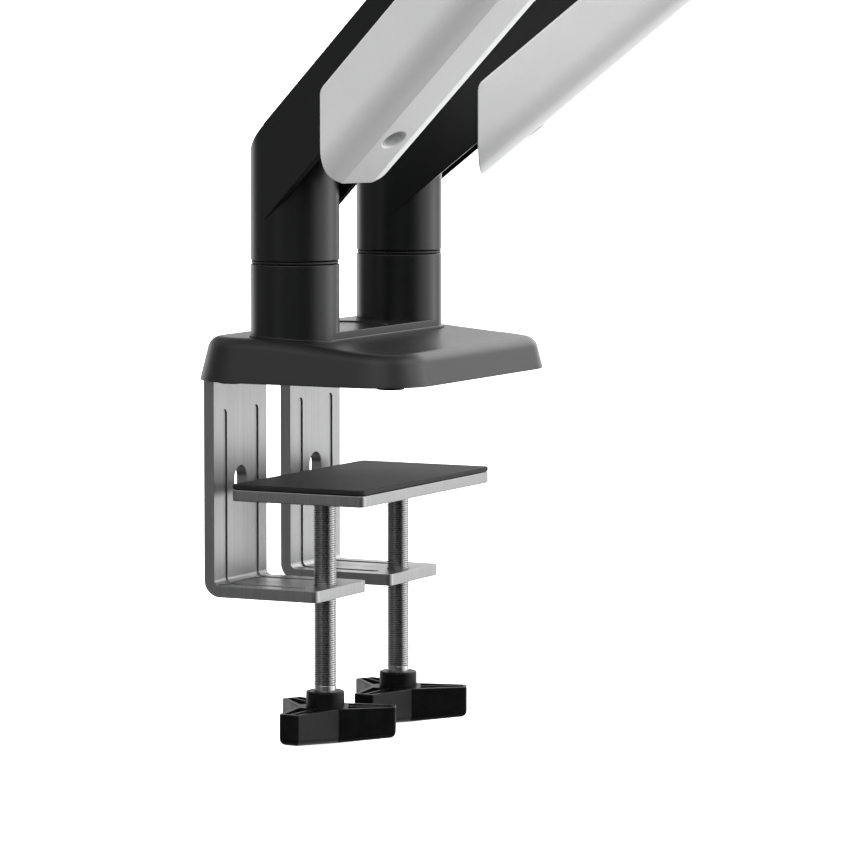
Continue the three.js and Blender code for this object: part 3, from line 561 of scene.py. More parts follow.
def base_cover():
    out = base_outline()
    er = 6.0
    th = math.radians(14)

    def ring(ins, z):
        return [(x - nx * (ins(x, y) if callable(ins) else ins), y - ny * (ins(x, y) if callable(ins) else ins), z(x, y) if callable(z) else z) for x, y, nx, ny in out]

    def height(x, y, nx, ny):
        return base_top(y - ny * 5.0)
    rings = []
    H = [height(*p) for p in out]

    def pring(fi):
        r = []
        for (x, y, nx, ny), h in zip(out, H):
            i, z = fi(h)
            r.append((x - nx * i, y - ny * i, z))
        return r
    # foot edge, slightly eased
    rings.append(pring(lambda h: (0.45, 0.0)))
    rings.append(pring(lambda h: (0.13, 0.13)))
    rings.append(pring(lambda h: (0.10, 0.5)))
    for f in (0.25, 0.5, 0.75):
        rings.append(pring(lambda h, f=f: ((h - er) * f * DRAFT, (h - er) * f)))
    n = 9
    for i in range(n + 1):
        phi = th + (math.pi / 2 - th) * i / n
        rings.append(pring(lambda h, phi=phi: ((h - er) * DRAFT + er / math.cos(th) - er * math.cos(phi), (h - er) + er * math.sin(phi))))
    edge = rings[-1]
    R = RIM_R + 0.3
    hole = []
    for x, y, z in edge:
        dx, dy = x, y - POST_Y
        l = math.hypot(dx, dy)
        dx, dy = dx / l, dy / l
        t = R / abs(dy) if abs(dy) > 1e-9 else 1e9
        if abs(dx * t) > POST_X:
            b = -dx * math.copysign(POST_X, dx)
            c = POST_X * POST_X - R * R
            t = -b + math.sqrt(b * b - c)
        hole.append((dx * t, POST_Y + dy * t))
    k = 18
    for i in range(1, k + 1):
        f = i / k
        f = f * f * (3 - 2 * f) * 0.35 + f * 0.65
        r = []
        for (x, y, z), (hx, hy) in zip(edge, hole):
            d = math.hypot(hx - x, hy - y)
            g = f * max(0.0, (d - 0.5) / d)
            px, py = x + (hx - x) * g, y + (hy - y) * g
            r.append((px, py, base_top(py)))
        rings.append(r)
    for a in (30, 60, 90):
        s, c = math.sin(math.radians(a)), math.cos(math.radians(a))
        r = []
        for (x, y, z), (hx, hy) in zip(edge, hole):
            d = math.hypot(hx - x, hy - y)
            g = (d - 0.5 * (1 - s)) / d
            px, py = x + (hx - x) * g, y + (hy - y) * g
            r.append((px, py, base_top(py) - 0.5 * (1 - c)))
        rings.append(r)
    rings.append([(hx, hy, 11.2) for hx, hy in hole])

    def inner(fr, rear_i, side_i, z):
        r = []
        for (x, y, nx, ny), (hx, hy) in zip(out, hole):
            w = min(1.0, max(0.0, (y - 36) / 8))
            i = side_i * (1 - w) + rear_i * w
            px, py = x - nx * i, y - ny * i
            r.append((px + (hx - px) * fr, py + (hy - py) * fr, z))
        return r
    rings.append(inner(0.0, 5.0, 6.5, 11.2))
    rings.append(inner(0.0, 3.6, 4.4, 7.0))
    rings.append(inner(0.0, 1.45, 3.0, 3.2))
    rings.append(inner(0.0, 1.45, 2.6, 0.0))
    o = loft("base_cover", rings, closed=True)
    return o


place(base_cover(), "base_cover", "base", "base_moulding", sharp=50)

# ------------------------------------------------------------------ base plate, feet
plate = rprism("base_plate", round_rect(BASE_X / 2 - 4.9, BASE_Y / 2 - 4.9, 19.7, 12), 0, 2.5, 0.3, 0.3, 2)
cutters = []
for s in (-1, 1):
    cutters.append(box(s * CLAMP_X - BRK_W / 2 - 0.5, s * CLAMP_X + BRK_W / 2 + 0.5, BRK_BACK - BRK_T - BEND_IN - 0.5, 70, -1, 5))
    cutters.append(tube_cut(3.3, -1, 5, (s * CLAMP_X, 40.4, 0)))
    for t in (-1, 1):
        cutters.append(tube_cut(6.5, -1, 1.1, (s * 60, t * 39, 0)))
        # screw dimples that hold the plate to the posts
        cutters.append(lathe("cutter", [(4.2, -1), (4.2, 0.0), (2.2, 1.6), (2.2, 2.2)], 32, (s * POST_X + t * 13, POST_Y - 3, 0)))
place(cut(plate, *cutters), "base_plate", "base", "bare_steel")
for sx, a in ((-1, "left"), (1, "right")):
    for sy, b in ((-1, "front"), (1, "rear")):
        f = lathe("foot", [(5.0, -1.5), (5.7, -1.38), (6.05, -1.1), (6.2, -0.7), (6.2, 0.8)], 48, (sx * 60, sy * 39, 0))
        ring = lathe("cutter", [(3.2, -2.0), (3.2, -1.15), (0.0, -1.15)], 32, (sx * 60, sy * 39, 0))
        place(cut(f, ring), f"foot_pad_{b}_{a}", "base", "rubber")

# ------------------------------------------------------------------ posts
def rim_top(y):
    return RIM_TOP + RIM_SLOPE * (y - POST_Y + POST_R)


def rim():
    """The web between the posts: flush with them, its top rising to the rear and rounded at the edge."""
    out = clean_loop(stadium(POST_X, POST_R, 32, POST_Y))
    rings = [[(x, y, 2.8) for x, y in out]]
    for a in (0, 22, 45, 67, 90):
        c, n = 0.6 * (1 - math.cos(math.radians(a))), 0.6 * (1 - math.sin(math.radians(a)))
        rings.append([(x, y, rim_top(y) - n) for x, y in inset(out, c)])
    return loft("rim", rings)


def foot_bead():
    """The wider foot that stands just proud of the cover all round."""
    out = clean_loop(stadium(POST_X, RIM_R, 32, POST_Y))
    rings = [[(x, y, 2.8) for x, y in out]]
    for d, z in ((0.0, 0.75), (0.05, 0.95), (0.15, 1.1), (0.3, 1.18), (0.5, 1.2), (0.8, 1.2)):
        rings.append([(x, y, base_top(y) + z) for x, y in inset(out, d)])
    return loft("foot_bead", rings)


posts = join(rim(), foot_bead())
# a round dished seat in the web, its wall eased at the top
seat = []
for d, z in ((0.5, -RECESS_DEPTH), (0.15, -RECESS_DEPTH + 0.15), (0.0, -0.3), (0.0, -0.12), (-0.12, 0.02), (-0.12, 3.0)):
    r = DISC_R - d
    seat.append([(r * math.cos(a), POST_Y + r * math.sin(a), rim_top(POST_Y + r * math.sin(a)) + z) for a in [math.radians(3 * i) for i in range(120)]])
posts = cut(posts, loft("seat", seat))
posts = join(posts, *[rod("stub", POST_R, 3.0, STUB_TOP, (s * POST_X, POST_Y, 0), e1=0.5, n=96, k=4) for s in (-1, 1)])
posts = cut(posts, *[tube_cut(6.4, -1, 60, (s * POST_X, POST_Y, 0)) for s in (-1, 1)], *[tube_cut(12, -1, 14, (s * POST_X, POST_Y, 0)) for s in (-1, 1)],
            rprism("pocket", round_rect(30, 14, 5, 6, 0, POST_Y), -1, 17))
tidy(posts, angle=0)
place(posts, "twin_post_base", "base", "black_casting")

# ------------------------------------------------------------------ brackets
def bracket_path():
    b, t, f = BRK_BACK, BRK_T, FLANGE_Z0
    zt, zb = f + t, BRK_BOT
    return ([(FLANGE_FRONT, f), (FLANGE_FRONT, zt)]
            + corner((FLANGE_FRONT, zt), (b, zt), (b, zb), BEND_OUT, 12)
            + corner((b, zt), (b, zb), (BRK_FRONT, zb), BEND_OUT, 12)
            + [(BRK_FRONT, zb), (BRK_FRONT, zb + t)]
            + corner((BRK_FRONT, zb + t), (b - t, zb + t), (b - t, f), BEND_IN, 8)
            + corner((b - t, zb + t), (b - t, f), (FLANGE_FRONT, f), BEND_IN, 8))


def groove(c):
    """Tool shapes for one groove: down the inner face, round the bend and along the lower leg, with half-round ends."""
    face, zt, r, d = BRK_BACK - BRK_T, BRK_BOT + BRK_T, 2.2, 0.75
    down = prism_y("down", arc(c, -16.5, r, 0, 180, 16) + [(c - r, zt + BEND_IN - 0.2), (c + r, zt + BEND_IN - 0.2)], face - 3, face + d)
    leg = rprism("leg", [(c + r, face - BEND_IN + 0.2), (c - r, face - BEND_IN + 0.2)] + arc(c, 11, r, 180, 360, 16), zt - d, zt + 3)
    return down, leg, rod("bend", BEND_IN + d, c - r, c + r, (0, face - BEND_IN, zt + BEND_IN), "X", n=96)


def bracket(s):
    cx = s * CLAMP_X
    o = prism_x("bracket", bracket_path(), cx - BRK_W / 2, cx + BRK_W / 2)
    plan = arc(cx - BRK_W / 2 + 3, BRK_FRONT + 3, 3, 180, 270, 8) + arc(cx + BRK_W / 2 - 3, BRK_FRONT + 3, 3, 270, 360, 8) + [(cx + BRK_W / 2 + 1, 0.7), (cx + BRK_W / 2 + 1, 80), (cx - BRK_W / 2 - 1, 80), (cx - BRK_W / 2 - 1, 0.7)]
    o = common(o, rprism("plan", plan, -120, 40))
    slot = turned(rprism("slot", arc(0, -45.7, 5.5, 0, 180, 20) + arc(0, -50, 5.5, 180, 360, 20), -70, -40), Matrix.Translation((cx, 0, 0)) @ TO_Y)
    o = cut(o, slot, tube_cut(5.25, -120, -80, (cx, CLAMP_Y, 0)), tube_cut(3.3, 0, 20, (cx, 40.4, 0)))
    o = cut(o, *groove(cx - 14.4), *groove(cx + 14.4))
    bevel(o, 0.25, 2, 50, clean=0.05)
    return o


for s, side in ((-1, "left"), (1, "right")):
    cx = s * CLAMP_X
    place(bracket(s), f"clamp_bracket_{side}", "base", "satin_alloy")
    hexa = rprism("head", [(cx + 5.2 * math.cos(math.radians(a)), 40.4 + 5.2 * math.sin(math.radians(a))) for a in range(0, 360, 60)], 8.3, 12.6)
    dome = rod("dome", 5.05, 8.0, 12.6, (cx, 40.4, 0), e1=0.9)
    head = join(common(hexa, dome), rod("shank", 3.0, 0.5, 9.0, (cx, 40.4, 0), e0=0.5, n=32))
    place(head, f"bracket_bolt_{side}", "base", "zinc_steel")

# ------------------------------------------------------------------ clamp plate and pad
def plan_rect(grow=0.0):
    return round_rect(PLATE_HX, (PLATE_Y1 - PLATE_Y0) / 2, PLATE_R, 8, 0, (PLATE_Y0 + PLATE_Y1) / 2)


plate = rprism("clamp_plate", plan_rect(), PLATE_TOP - PLATE_T, PLATE_TOP, 0.45, 0.35, 3)
cutters = []
for s in (-1, 1):
    cutters += [tube_cut(4.3, -60, -40, (s * CLAMP_X, CLAMP_Y, 0)), tube_cut(6.9, PLATE_TOP - 2.6, -40, (s * CLAMP_X, CLAMP_Y, 0))]
place(cut(plate, *cutters), "clamp_plate", "clamp", "satin_alloy")
pad = rprism("clamp_pad", plan_rect(), PAD_TOP - PAD_T, PAD_TOP, 0.25, 0.45, 3)
pad = place(pad, "clamp_pad", "clamp", "pad_foam")

# ------------------------------------------------------------------ clamp screws
def thread(name, x, y, r_out, r_in, pitch, z0, z1, n=56):
    """A bar with a helical thread between z0 and z1; the thread runs out at both ends."""
    prof = [(0.0, r_in), (0.16, r_in), (0.38, r_out), (0.72, r_out), (0.94, r_in)]
    rows = int((z1 - z0) / pitch) + 2
    verts, index = [], []
    for k in range(rows * len(prof)):
        turn, j = divmod(k, len(prof))
        u, r = prof[j]
        line = []
        for i in range(n):
            z = z0 - pitch + (turn + u + i / n) * pitch
            rr = r
            if z <= z0 + 0.01:
                z, rr = z0, r_in
            elif z >= z1 - 0.01:
                z, rr = z1, r_in
            else:
                fade = min(1.0, (z - z0) / (0.8 * pitch), (z1 - z) / (0.8 * pitch))
                rr = r_in + (r - r_in) * fade
            a = 2 * math.pi * i / n
            line.append(len(verts))
            verts.append((x + rr * math.cos(a), y + rr * math.sin(a), z))
        index.append(line)
    faces = []
    m = len(prof)
    for k in range(len(index) - 1):
        for i in range(n - 1):
            faces.append((index[k][i], index[k][i + 1], index[k + 1][i + 1], index[k + 1][i]))
        # the seam joins a row's end to the row one turn further on
        if k + m + 1 < len(index):
            faces.append((index[k][n - 1], index[k + m][0], index[k + m + 1][0], index[k + 1][n - 1]))
    o = obj_from(name, verts, faces)
    bm = bmesh.new()
    bm.from_mesh(o.data)
    bmesh.ops.remove_doubles(bm, verts=bm.verts, dist=1e-4)
    bmesh.ops.dissolve_degenerate(bm, edges=bm.edges, dist=1e-4)
    bmesh.ops.holes_fill(bm, edges=[e for e in bm.edges if len(e.link_faces) == 1], sides=0)
    bmesh.ops.recalc_face_normals(bm, faces=bm.faces)
    bm.to_mesh(o.data)
    bm.free()
    return o


for s, side in ((-1, "left"), (1, "right")):
    cx = s * CLAMP_X
    lo, hi = COLLAR_TOP + 2.6, PLATE_TOP - PLATE_T - 0.3
    th = thread("thread", cx, CLAMP_Y, 4.995, 4.5, 1.0, lo - 0.4, hi)
    bottom = rod("plain", 4.8, KNOB_TOP - 12, lo, (cx, CLAMP_Y, 0), e0=0.4, e1=0.4, n=56)
    neck = rod("neck", 4.0, hi - 1.0, PLATE_TOP - 2, (cx, CLAMP_Y, 0), n=40)
    head = rod("head", 6.5, PLATE_TOP - 2.3, PLATE_TOP - 0.3, (cx, CLAMP_Y, 0), e0=0.2, e1=0.3, n=48)
    scr = merge(th, bottom, join(neck, head))
    place(scr, f"clamp_screw_{side}", f"{side}_knob", "zinc_thread", sharp=34)

# ------------------------------------------------------------------ knobs
def knob_outline(d=0.0):
    """The three-armed outline moved inwards by d, every corner rounded."""
    raw, rad = [], []
    for k in range(3):
        a = math.radians(KNOB_DIR + 120 * k)
        c, s, h = math.cos(a), math.sin(a), KNOB_TIP_W / 2
        raw += [(KNOB_TIP * c + h * s, KNOB_TIP * s - h * c), (KNOB_TIP * c - h * s, KNOB_TIP * s + h * c),
                (KNOB_NOTCH * math.cos(a + math.pi / 3), KNOB_NOTCH * math.sin(a + math.pi / 3))]
        rad += [max(1.3 - d, 0.12), max(1.3 - d, 0.12), 0.8 + d]
    raw = inset(raw, d)
    pts, m = [], len(raw)
    for i in range(m):
        pts += corner(raw[i - 1], raw[i], raw[(i + 1) % m], rad[i], 5)
    return pts


def knob(cx, cy):
    z0, z1, er = KNOB_TOP - KNOB_H, KNOB_TOP, 2.8

    def crown(x, y):
        return 1.9 * (x * x + y * y) / KNOB_TIP ** 2
    rings = []
    low = knob_outline(er)
    for f in (0.05, 0.3, 0.55, 0.8):
        rings.append([(x * f, y * f, z0 + crown(x * f, y * f)) for x, y in low])
    for i in range(8):
        a = math.pi / 2 * i / 7
        rings.append([(x, y, z0 + crown(x, y) + er * (1 - math.cos(a))) for x, y in knob_outline(er * (1 - math.sin(a)))])
    for i in range(4):
        a = math.pi / 2 * i / 3
        rings.append([(x, y, z1 - 0.4 * (1 - math.sin(a))) for x, y in knob_outline(0.4 * (1 - math.cos(a)))])
    o = loft("knob", rings)
    o.data.transform(Matrix.Translation((cx, cy, 0)))
    cutters = []
    for i in range(3):
        a = math.radians(KNOB_DIR + 120 * i)
        c, s = math.cos(a), math.sin(a)
        for e in (-1, 1):
            def P(u, v):
                return (cx + u * c - e * v * s, cy + u * s + e * v * c)
            q = [P(10.2, 0.65), P(KNOB_TIP - 1.7, 0.65), P(KNOB_TIP - 1.7, 3.1), P(10.2, 7.0)]
            if e < 0:
                q = q[::-1]
            rr = []
            for k in range(4):
                rr += corner(q[k - 1], q[k], q[(k + 1) % 4], 0.5, 3)
            cutters.append(rprism("pocket", rr, KNOB_TOP - 9, KNOB_TOP + 1))
    o = cut(o, *cutters)
    # the collar runs down between the pockets
    o = join(o, rod("collar", COLLAR_R, KNOB_TOP - 9.5, COLLAR_TOP, (cx, cy, 0), e1=0.7, n=72))
    o = cut(o, tube_cut(4.85, KNOB_TOP - 12.6, -130, (cx, cy, 0)))
    bevel(o, 0.18, 2, 60, clean=0.05)
    return o


for s, side in ((-1, "left"), (1, "right")):
    place(knob(s * CLAMP_X, CLAMP_Y), f"clamp_knob_{side}", f"{side}_knob", "knob_plastic")

# ------------------------------------------------------------------ lower arms
T, CS, SN = math.tan(SLOPE), math.cos(SLOPE), math.sin(SLOPE)
BOT = ARM_TOP + BODY_V / CS


def sl(u, v):
    return (u * CS - v * SN, ARM_TOP + u * SN + v * CS)


def square_to_slope(o, u=0.0, v=0.0):
    x, z = sl(u, v)
    return turned(o, Matrix.Translation((x, 0, z)) @ Matrix.Rotation(-SLOPE, 4, "Y"))


def cyl_n(r, v0, v1, u, n=48, e0=0.0, e1=0.0):
    return square_to_slope(rod("c", r, v0, v1, e0=e0, e1=e1, n=n), u, 0)


def lower_arm():
    R, E = POST_R, ELBOW_S
    W = R - 0.02
    low = prism_y("low", [(-R - 1, ARM_Z0 - 2), (R + 1, ARM_Z0 - 2), (R + 1, ARM_TOP + (R + 1) * T)]
                  + corner((R, ARM_TOP + R * T), (-R, ARM_TOP - R * T), (-R, ARM_Z0), 9, 14) + [(-R - 1, ARM_TOP - R * T - 12)], -R - 1, R + 1)
    low = common(rod("lowcyl", R, ARM_Z0, 140, n=128, e0=0.6, k=3), low)
    high = prism_y("high", [(E - R - 1, BOT + (E - R - 1) * T)]
                   + corner((E - R, BOT + (E - R) * T), (E + R, BOT + (E + R) * T), (E + R, ELBOW_TOP), 9, 14)
                   + [(E + R + 1, BOT + (E + R) * T + 12), (E + R + 1, ELBOW_TOP + 2), (E - R - 1, ELBOW_TOP + 2)], -R - 1, R + 1)
    high = common(rod("highcyl", R, 200, ELBOW_TOP, (E, 0, 0), n=128, e1=0.5), high)
    beam = prism_y("beam", [(0, BOT), (E, BOT + E * T), (E, ARM_TOP + E * T - 0.01), (0, ARM_TOP - 0.01)], -W, W)
    channel = square_to_slope(box(-30, E / CS + 30, CHANNEL_WALL - R, R - CHANNEL_WALL, BODY_V - 12, CHANNEL_V))
    beam = cut(beam, channel)
    o = join(beam, low, high, cyl_n(7, BODY_V + 0.2, CHANNEL_V + 1, SCREW_U, e0=0.5))
    o = cut(o, tube_cut(6.3, 40, 90), tube_cut(6.3, 200, 300, (E, 0, 0)), tube_cut(12.5, 200, 262.4, (E, 0, 0)), cyl_n(2.3, -40, -18, SCREW_U))
    return bevel(o, 0.6, 3, 50, clean=0.05)


def smooth_corner(sub=5):
    """The lower corner of the cover's section as a smooth curve, from the side wall to the flat bottom."""
    P = [Vector((COVER_CORNER[0][0], COVER_CORNER[0][1] + 2.0))] + [Vector(p) for p in COVER_CORNER]
    P.append(P[-1] * 2 - P[-2])
    out = []
    for i in range(1, len(P) - 2):
        p0, p1, p2, p3 = P[i - 1], P[i], P[i + 1], P[i + 2]
        for k in range(sub):
            t = k / sub
            out.append(0.5 * ((2 * p1) + (p2 - p0) * t + (2 * p0 - 5 * p1 + 4 * p2 - p3) * t * t + (3 * p1 - p0 - 3 * p2 + p3) * t ** 3))
    out.append(P[-2])
    return out


def lower_cover():
    w, t = COVER_W / 2, COVER_T
    curve = smooth_corner()
    cor_out = [(p.x, COVER_V1 + p.y) for p in curve]
    cor_in = []
    for i, p in enumerate(curve):
        a, b = curve[max(0, i - 1)], curve[min(len(curve) - 1, i + 1)]
        d = (b - a).normalized()
        if i == 0:
            d = Vector((0, -1))
        if i == len(curve) - 1:
            d = Vector((-1, 0))
        q = p + Vector((d.y, -d.x)) * t
        cor_in.append((q.x, COVER_V1 + q.y))
    cor_in = [q for q in cor_in[:-1] if q[0] > cor_in[-1][0] + 0.15] + cor_in[-1:]
    mir = lambda pts: [(-x, y) for x, y in pts]
    lip = t / 2
    right_lip = arc(w - lip, COVER_V0 - lip, lip, 0, 180, 10)
    left_lip = [(-x, y) for x, y in reversed(right_lip)]
    section = right_lip + cor_in + mir(cor_in)[::-1] + left_lip + mir(cor_out) + cor_out[::-1]
    section = clean_loop(section, 1e-3)
    if area2(section) < 0:
        section = section[::-1]
    a, b, e = COVER_S0, COVER_S1, 0.75
    top = lambda x: ARM_TOP + COVER_V0 / CS + x * T
    # side view of the two upper corners, rounded where the end meets the top edge
    near = corner((a, top(a) - 40), (a, top(a)), (b, top(b)), 6, 14)
    far = corner((a, top(a)), (b, top(b)), (b, top(b) - 60), 6, 14)

    def fall(x):
        for line in (near, far):
            for (x0, z0), (x1, z1) in zip(line, line[1:]):
                if x0 <= x <= x1 and x1 - x0 > 1e-6:
                    return top(x) - (z0 + (z1 - z0) * (x - x0) / (x1 - x0))
        return 0.0
    steps = [e * (1 - math.cos(math.radians(q))) for q in (0, 22, 45, 67, 90)]
    xs = [a + d for d in steps] + [b - d for d in steps] + [x for x, z in near + far if a + e < x < b - e] + [a + (b - a) * k / 16 for k in range(1, 16)]
    xs = sorted(xs)
    xs = [x for k, x in enumerate(xs) if k == 0 or x - xs[k - 1] > 0.02]
    rings = []
    for x in xs:
        drop_z = fall(min(max(x, near[0][0] + 0.004), far[-1][0] - 0.004))
        d = min(x - a, b - x)
        d = 0.0 if d >= e else e - math.sqrt(max(0.0, e * e - (e - d) ** 2))
        ring = []
        for y, v in section:
            z = ARM_TOP + x * T + v / CS
            ring.append((y, z - drop_z if v > COVER_V0 - 3 else z))
        rings.append([(x, y, z) for y, z in inset(ring, d)])
    o = loft("cover", rings)
    cup = cyl_n(7, -42.5, -32.6, SCREW_U, 64)
    o = join(o, cup)
    hole = square_to_slope(lathe("hole", [(6.6, -60), (6.6, -44.3), (6.1, -44.0), (5.6, -43.8), (5.32, -43.5), (5.2, -43.0), (5.2, -34.8)], 64), SCREW_U, 0)
    o = cut(o, hole, cyl_n(2.5, -40, -30, SCREW_U, 32))
    return o


def cover_screw():
    head = square_to_slope(lathe("head", [(3.4, -38.6), (3.9, -38.45), (4.2, -38.0), (4.2, -35.1)], 48), SCREW_U, 0)
    shank = cyl_n(2, -36, -19, SCREW_U, 32, e1=0.5)
    o = join(head, shank)
    sock = square_to_slope(rprism("hex", [(1.75 * math.cos(math.radians(a)), 1.75 * math.sin(math.radians(a))) for a in range(0, 360, 60)], -40, -36.8), SCREW_U, 0)
    return cut(o, sock)


def hex_prism(af, z0, z1, x=0.0, y=0.0, ease=0.8):
    """A hexagon head, its corners eased like a turned blank."""
    r = af / 2 / math.cos(math.pi / 6)
    h = rprism("hex", [(x + r * math.cos(math.radians(a)), y + r * math.sin(math.radians(a))) for a in range(0, 360, 60)], z0, z1)
    c = rod("blank", r * 0.985, z0 - 0.02, z1 + 0.02, (x, y, 0), e0=ease, e1=ease)
    return common(h, c)


def base_bolt():
    return join(rod("shank", 6, 13.0, 88, e1=1.0), hex_prism(18.2, 6, 13.7))


def base_ring():
    o = rod("ring", POST_R - 0.32, RING_Z0 + 0.05, RING_Z1, e0=0.25, e1=0.25, n=96)
    return cut(o, tube_cut(7, 40, 60))


# ------------------------------------------------------------------ upper arms
def cheeks(x, d):
    top, low = PIVOT_Z, PIVOT_Z - LINK_DROP

    def one(y0, y1):
        a = rod("e", 10, y0, y1, (x, 0, top), "Y", 0.7, 0.7)
        b = rod("e", 9, y0, y1, (x, 0, low), "Y", 0.7, 0.7)
        c = prism_y("w", [(x - 9, low), (x + 9, low), (x + 10, top), (x - 10, top)], y0, y1, 0.7)
        q = [(x - 30, top - 9), (x, top - 9), (x, top + 9), (x - 30, top + 9)] if d > 0 else [(x, top - 9), (x + 28, top - 9), (x + 28, top + 9), (x, top + 9)]
        e = prism_y("w", q, y0, y1, 0.7)
        return join(a, b, c, e)
    o = join(one(7.5, 15.5), one(-15.5, -7.5), rod("b", 7.5, 15, 18.1, (x, 0, top), "Y", 0, 0.4), rod("b", 7.5, -18.1, -15, (x, 0, top), "Y", 0.4, 0))
    return cut(o, tube_cut(4.3, -30, 30, (x, 0, top), "Y"), tube_cut(3.3, -30, 30, (x, 0, low), "Y"))


def elbow_yoke():
    hub = rod("hub", POST_R, ELBOW_TOP + 0.6, 316, e0=0.6, e1=1.6, n=96, k=4)
    o = join(hub, cheeks(PIVOT_X, 1), rod("pin", 2.85, -8, 8, (PIVOT_X, 0, PIVOT_Z - 13), "Y"))
    o = cut(o, box(14, 60, -7.5, 7.5, 200, PIVOT_Z - 17), box(14, 60, -7.5, 7.5, PIVOT_Z - 9, 330), box(14, PIVOT_X - 8, -7.5, 7.5, 280, 330), tube_cut(6.3, 200, 311))
    # turned ring on the cap
    ring = lathe("g", [(14.6, 315.4), (14.6, 330)], 96)
    core = lathe("g", [(13.8, 300), (13.8, 340)], 96)
    return cut(o, cut(ring, core))


def upper_arm():
    L, x0, z0 = UPPER_L, PIVOT_X, PIVOT_Z
    side = [(a, max(b, z0 - 10)) for a, b in arc(x0, z0, 12, 90, 270, 24)] + [(a, max(b, z0 - 10)) for a, b in arc(x0 + L, z0, 12, -90, 90, 24)]
    side = clean_loop(side, 0.05)
    w1, w2 = prism_y("w", side, 18.4, 21, 0.5), prism_y("w", side, -21, -18.4, 0.5)
    top = prism_x("t", clean_loop([(21, 11.9), (21, 12.2)] + arc(18.9, 12.5, 2.1, 0, 90, 6) + arc(-18.9, 12.5, 2.1, 90, 180, 6) + [(-21, 12.2), (-21, 11.9)]), x0 + 2, x0 + L - 2, 0.4)
    top.data.transform(Matrix.Translation((0, 0, z0)))
    # side walls and top plate joined, then a pin hole and a shallow round recess on each side at each end
    o = join(w1, w2, top)
    for x in (x0, x0 + L):
        o = cut(o, tube_cut(4.3, -30, 30, (x, 0, z0), "Y"))
        for s in (-1, 1):
            o = cut(o, lathe("c", [(5.4, 0.0), (5.4, 0.5)], 40, (x, s * 21 - (0.5 if s > 0 else 0.0), z0), "Y"))
    return o


def upper_cover():
    L = UPPER_L
    x0, x1, z0 = PIVOT_X + 14, PIVOT_X + L - 14, PIVOT_Z
    sec = ([(23.2, -1.1)] + arc(17.2, 11, 6, 0, 90, 14) + arc(-17.2, 11, 6, 90, 180, 14) + [(-23.2, -1.1)]
           + arc(-22.3, -1.1, 0.9, 180, 360, 8) + arc(-18.2, 11.8, 3.2, 180, 90, 8) + arc(18.2, 11.8, 3.2, 90, 0, 8) + arc(22.3, -1.1, 0.9, 180, 360, 8))
    sec = clean_loop(sec, 1e-3)
    o = prism_x("cover", sec, x0, x1)
    o.data.transform(Matrix.Translation((0, 0, z0)))
    # end corners rounded in side view
    trim = prism_y("trim", corner((x0, z0 + 30), (x0, z0 - 2.2), (x1, z0 - 2.2), 5, 10) + corner((x0, z0 - 2.2), (x1, z0 - 2.2), (x1, z0 + 30), 5, 10) + corner((x1, z0 - 2), (x1, z0 + 17.02), (x0, z0 + 17.02), 4, 8) + corner((x1, z0 + 17.02), (x0, z0 + 17.02), (x0, z0 - 2), 4, 8), -30, 30)
    o = common(o, trim)
    bevel(o, 0.6, 3, 50, clean=0)
    return o


def lower_link():
    L, x0, z0 = UPPER_L, PIVOT_X, PIVOT_Z - LINK_DROP
    raw = [(-8, -8, 3), (L + 8, -8, 3), (L + 8, 7, 3), (L - 30, 7, 2), (L - 38, 14, 2), (38, 14, 2), (30, 7, 2), (-8, 7, 3)]
    pts, m = [], len(raw)
    for i in range(m):
        p, q, r = raw[i - 1], raw[i], raw[(i + 1) % m]
        pts += corner(p[:2], q[:2], r[:2], q[2], 6)
    pts = [(x0 + a, z0 + b) for a, b in pts]
    o = join(prism_y("w", pts, 15.9, 17.9, 0.4), prism_y("w", pts, -17.9, -15.9, 0.4), box(x0 + 20, x0 + L - 20, -17.0, 17.0, z0 - 7.9, z0 - 5.8))
    o = cut(o, tube_cut(3.3, -30, 30, (x0, 0, z0), "Y"), tube_cut(3.3, -30, 30, (x0 + L, 0, z0), "Y"))
    # two lightening slots in the floor
    for a in (70, 140):
        o = cut(o, rprism("s", [(x + x0, y) for x, y in round_rect(24, 6, 6, 8, a + 10, 0)], z0 - 12, z0 - 3))
    return o


SPRING_TILT, SPRING_L = math.atan2(11.5, UPPER_L), math.hypot(11.5, UPPER_L)


def along_spring(o):
    return turned(o, Matrix.Translation((PIVOT_X, 0, PIVOT_Z - 11.5)) @ Matrix.Rotation(-SPRING_TILT, 4, "Y"))


def spring_barrel():
    tube = lathe("tube", [(6.2, 95), (7.4, 95.3), (8.1, 96.4), (8.3, 98), (9.0, 99.5), (9.0, 193), (8.6, 195.5), (7.4, 197.2), (5.6, 198)], 64, (0, 0, 0), "X")
    o = join(tube, rod("n", 4.5, 190, SPRING_L - 4, (0, 0, 0), "X", 0, 0.3), rod("eye", 6.8, -5, 5, (SPRING_L, 0, 0), "Y", 0.6, 0.6))
    o = cut(o, tube_cut(4.4, 90, 192, (0, 0, 0), "X"), tube_cut(4.3, -9, 9, (SPRING_L, 0, 0), "Y"))
    return along_spring(o)


def spring_rod():
    eye = turned(rprism("eye", round_rect(7.25, 7.5, 2.2, 6, 0.75, -1.0), -5, 5, 0.6, 0.6, 3), TO_Y)
    o = join(rod("r", 4, 4, 150, (0, 0, 0), "X", 0, 0.6), eye)
    o = cut(o, turned(rprism("slot", round_rect(3.9, 5.05, 1.0, 6, 0, -0.15), -9, 9), TO_Y))
    return along_spring(o)


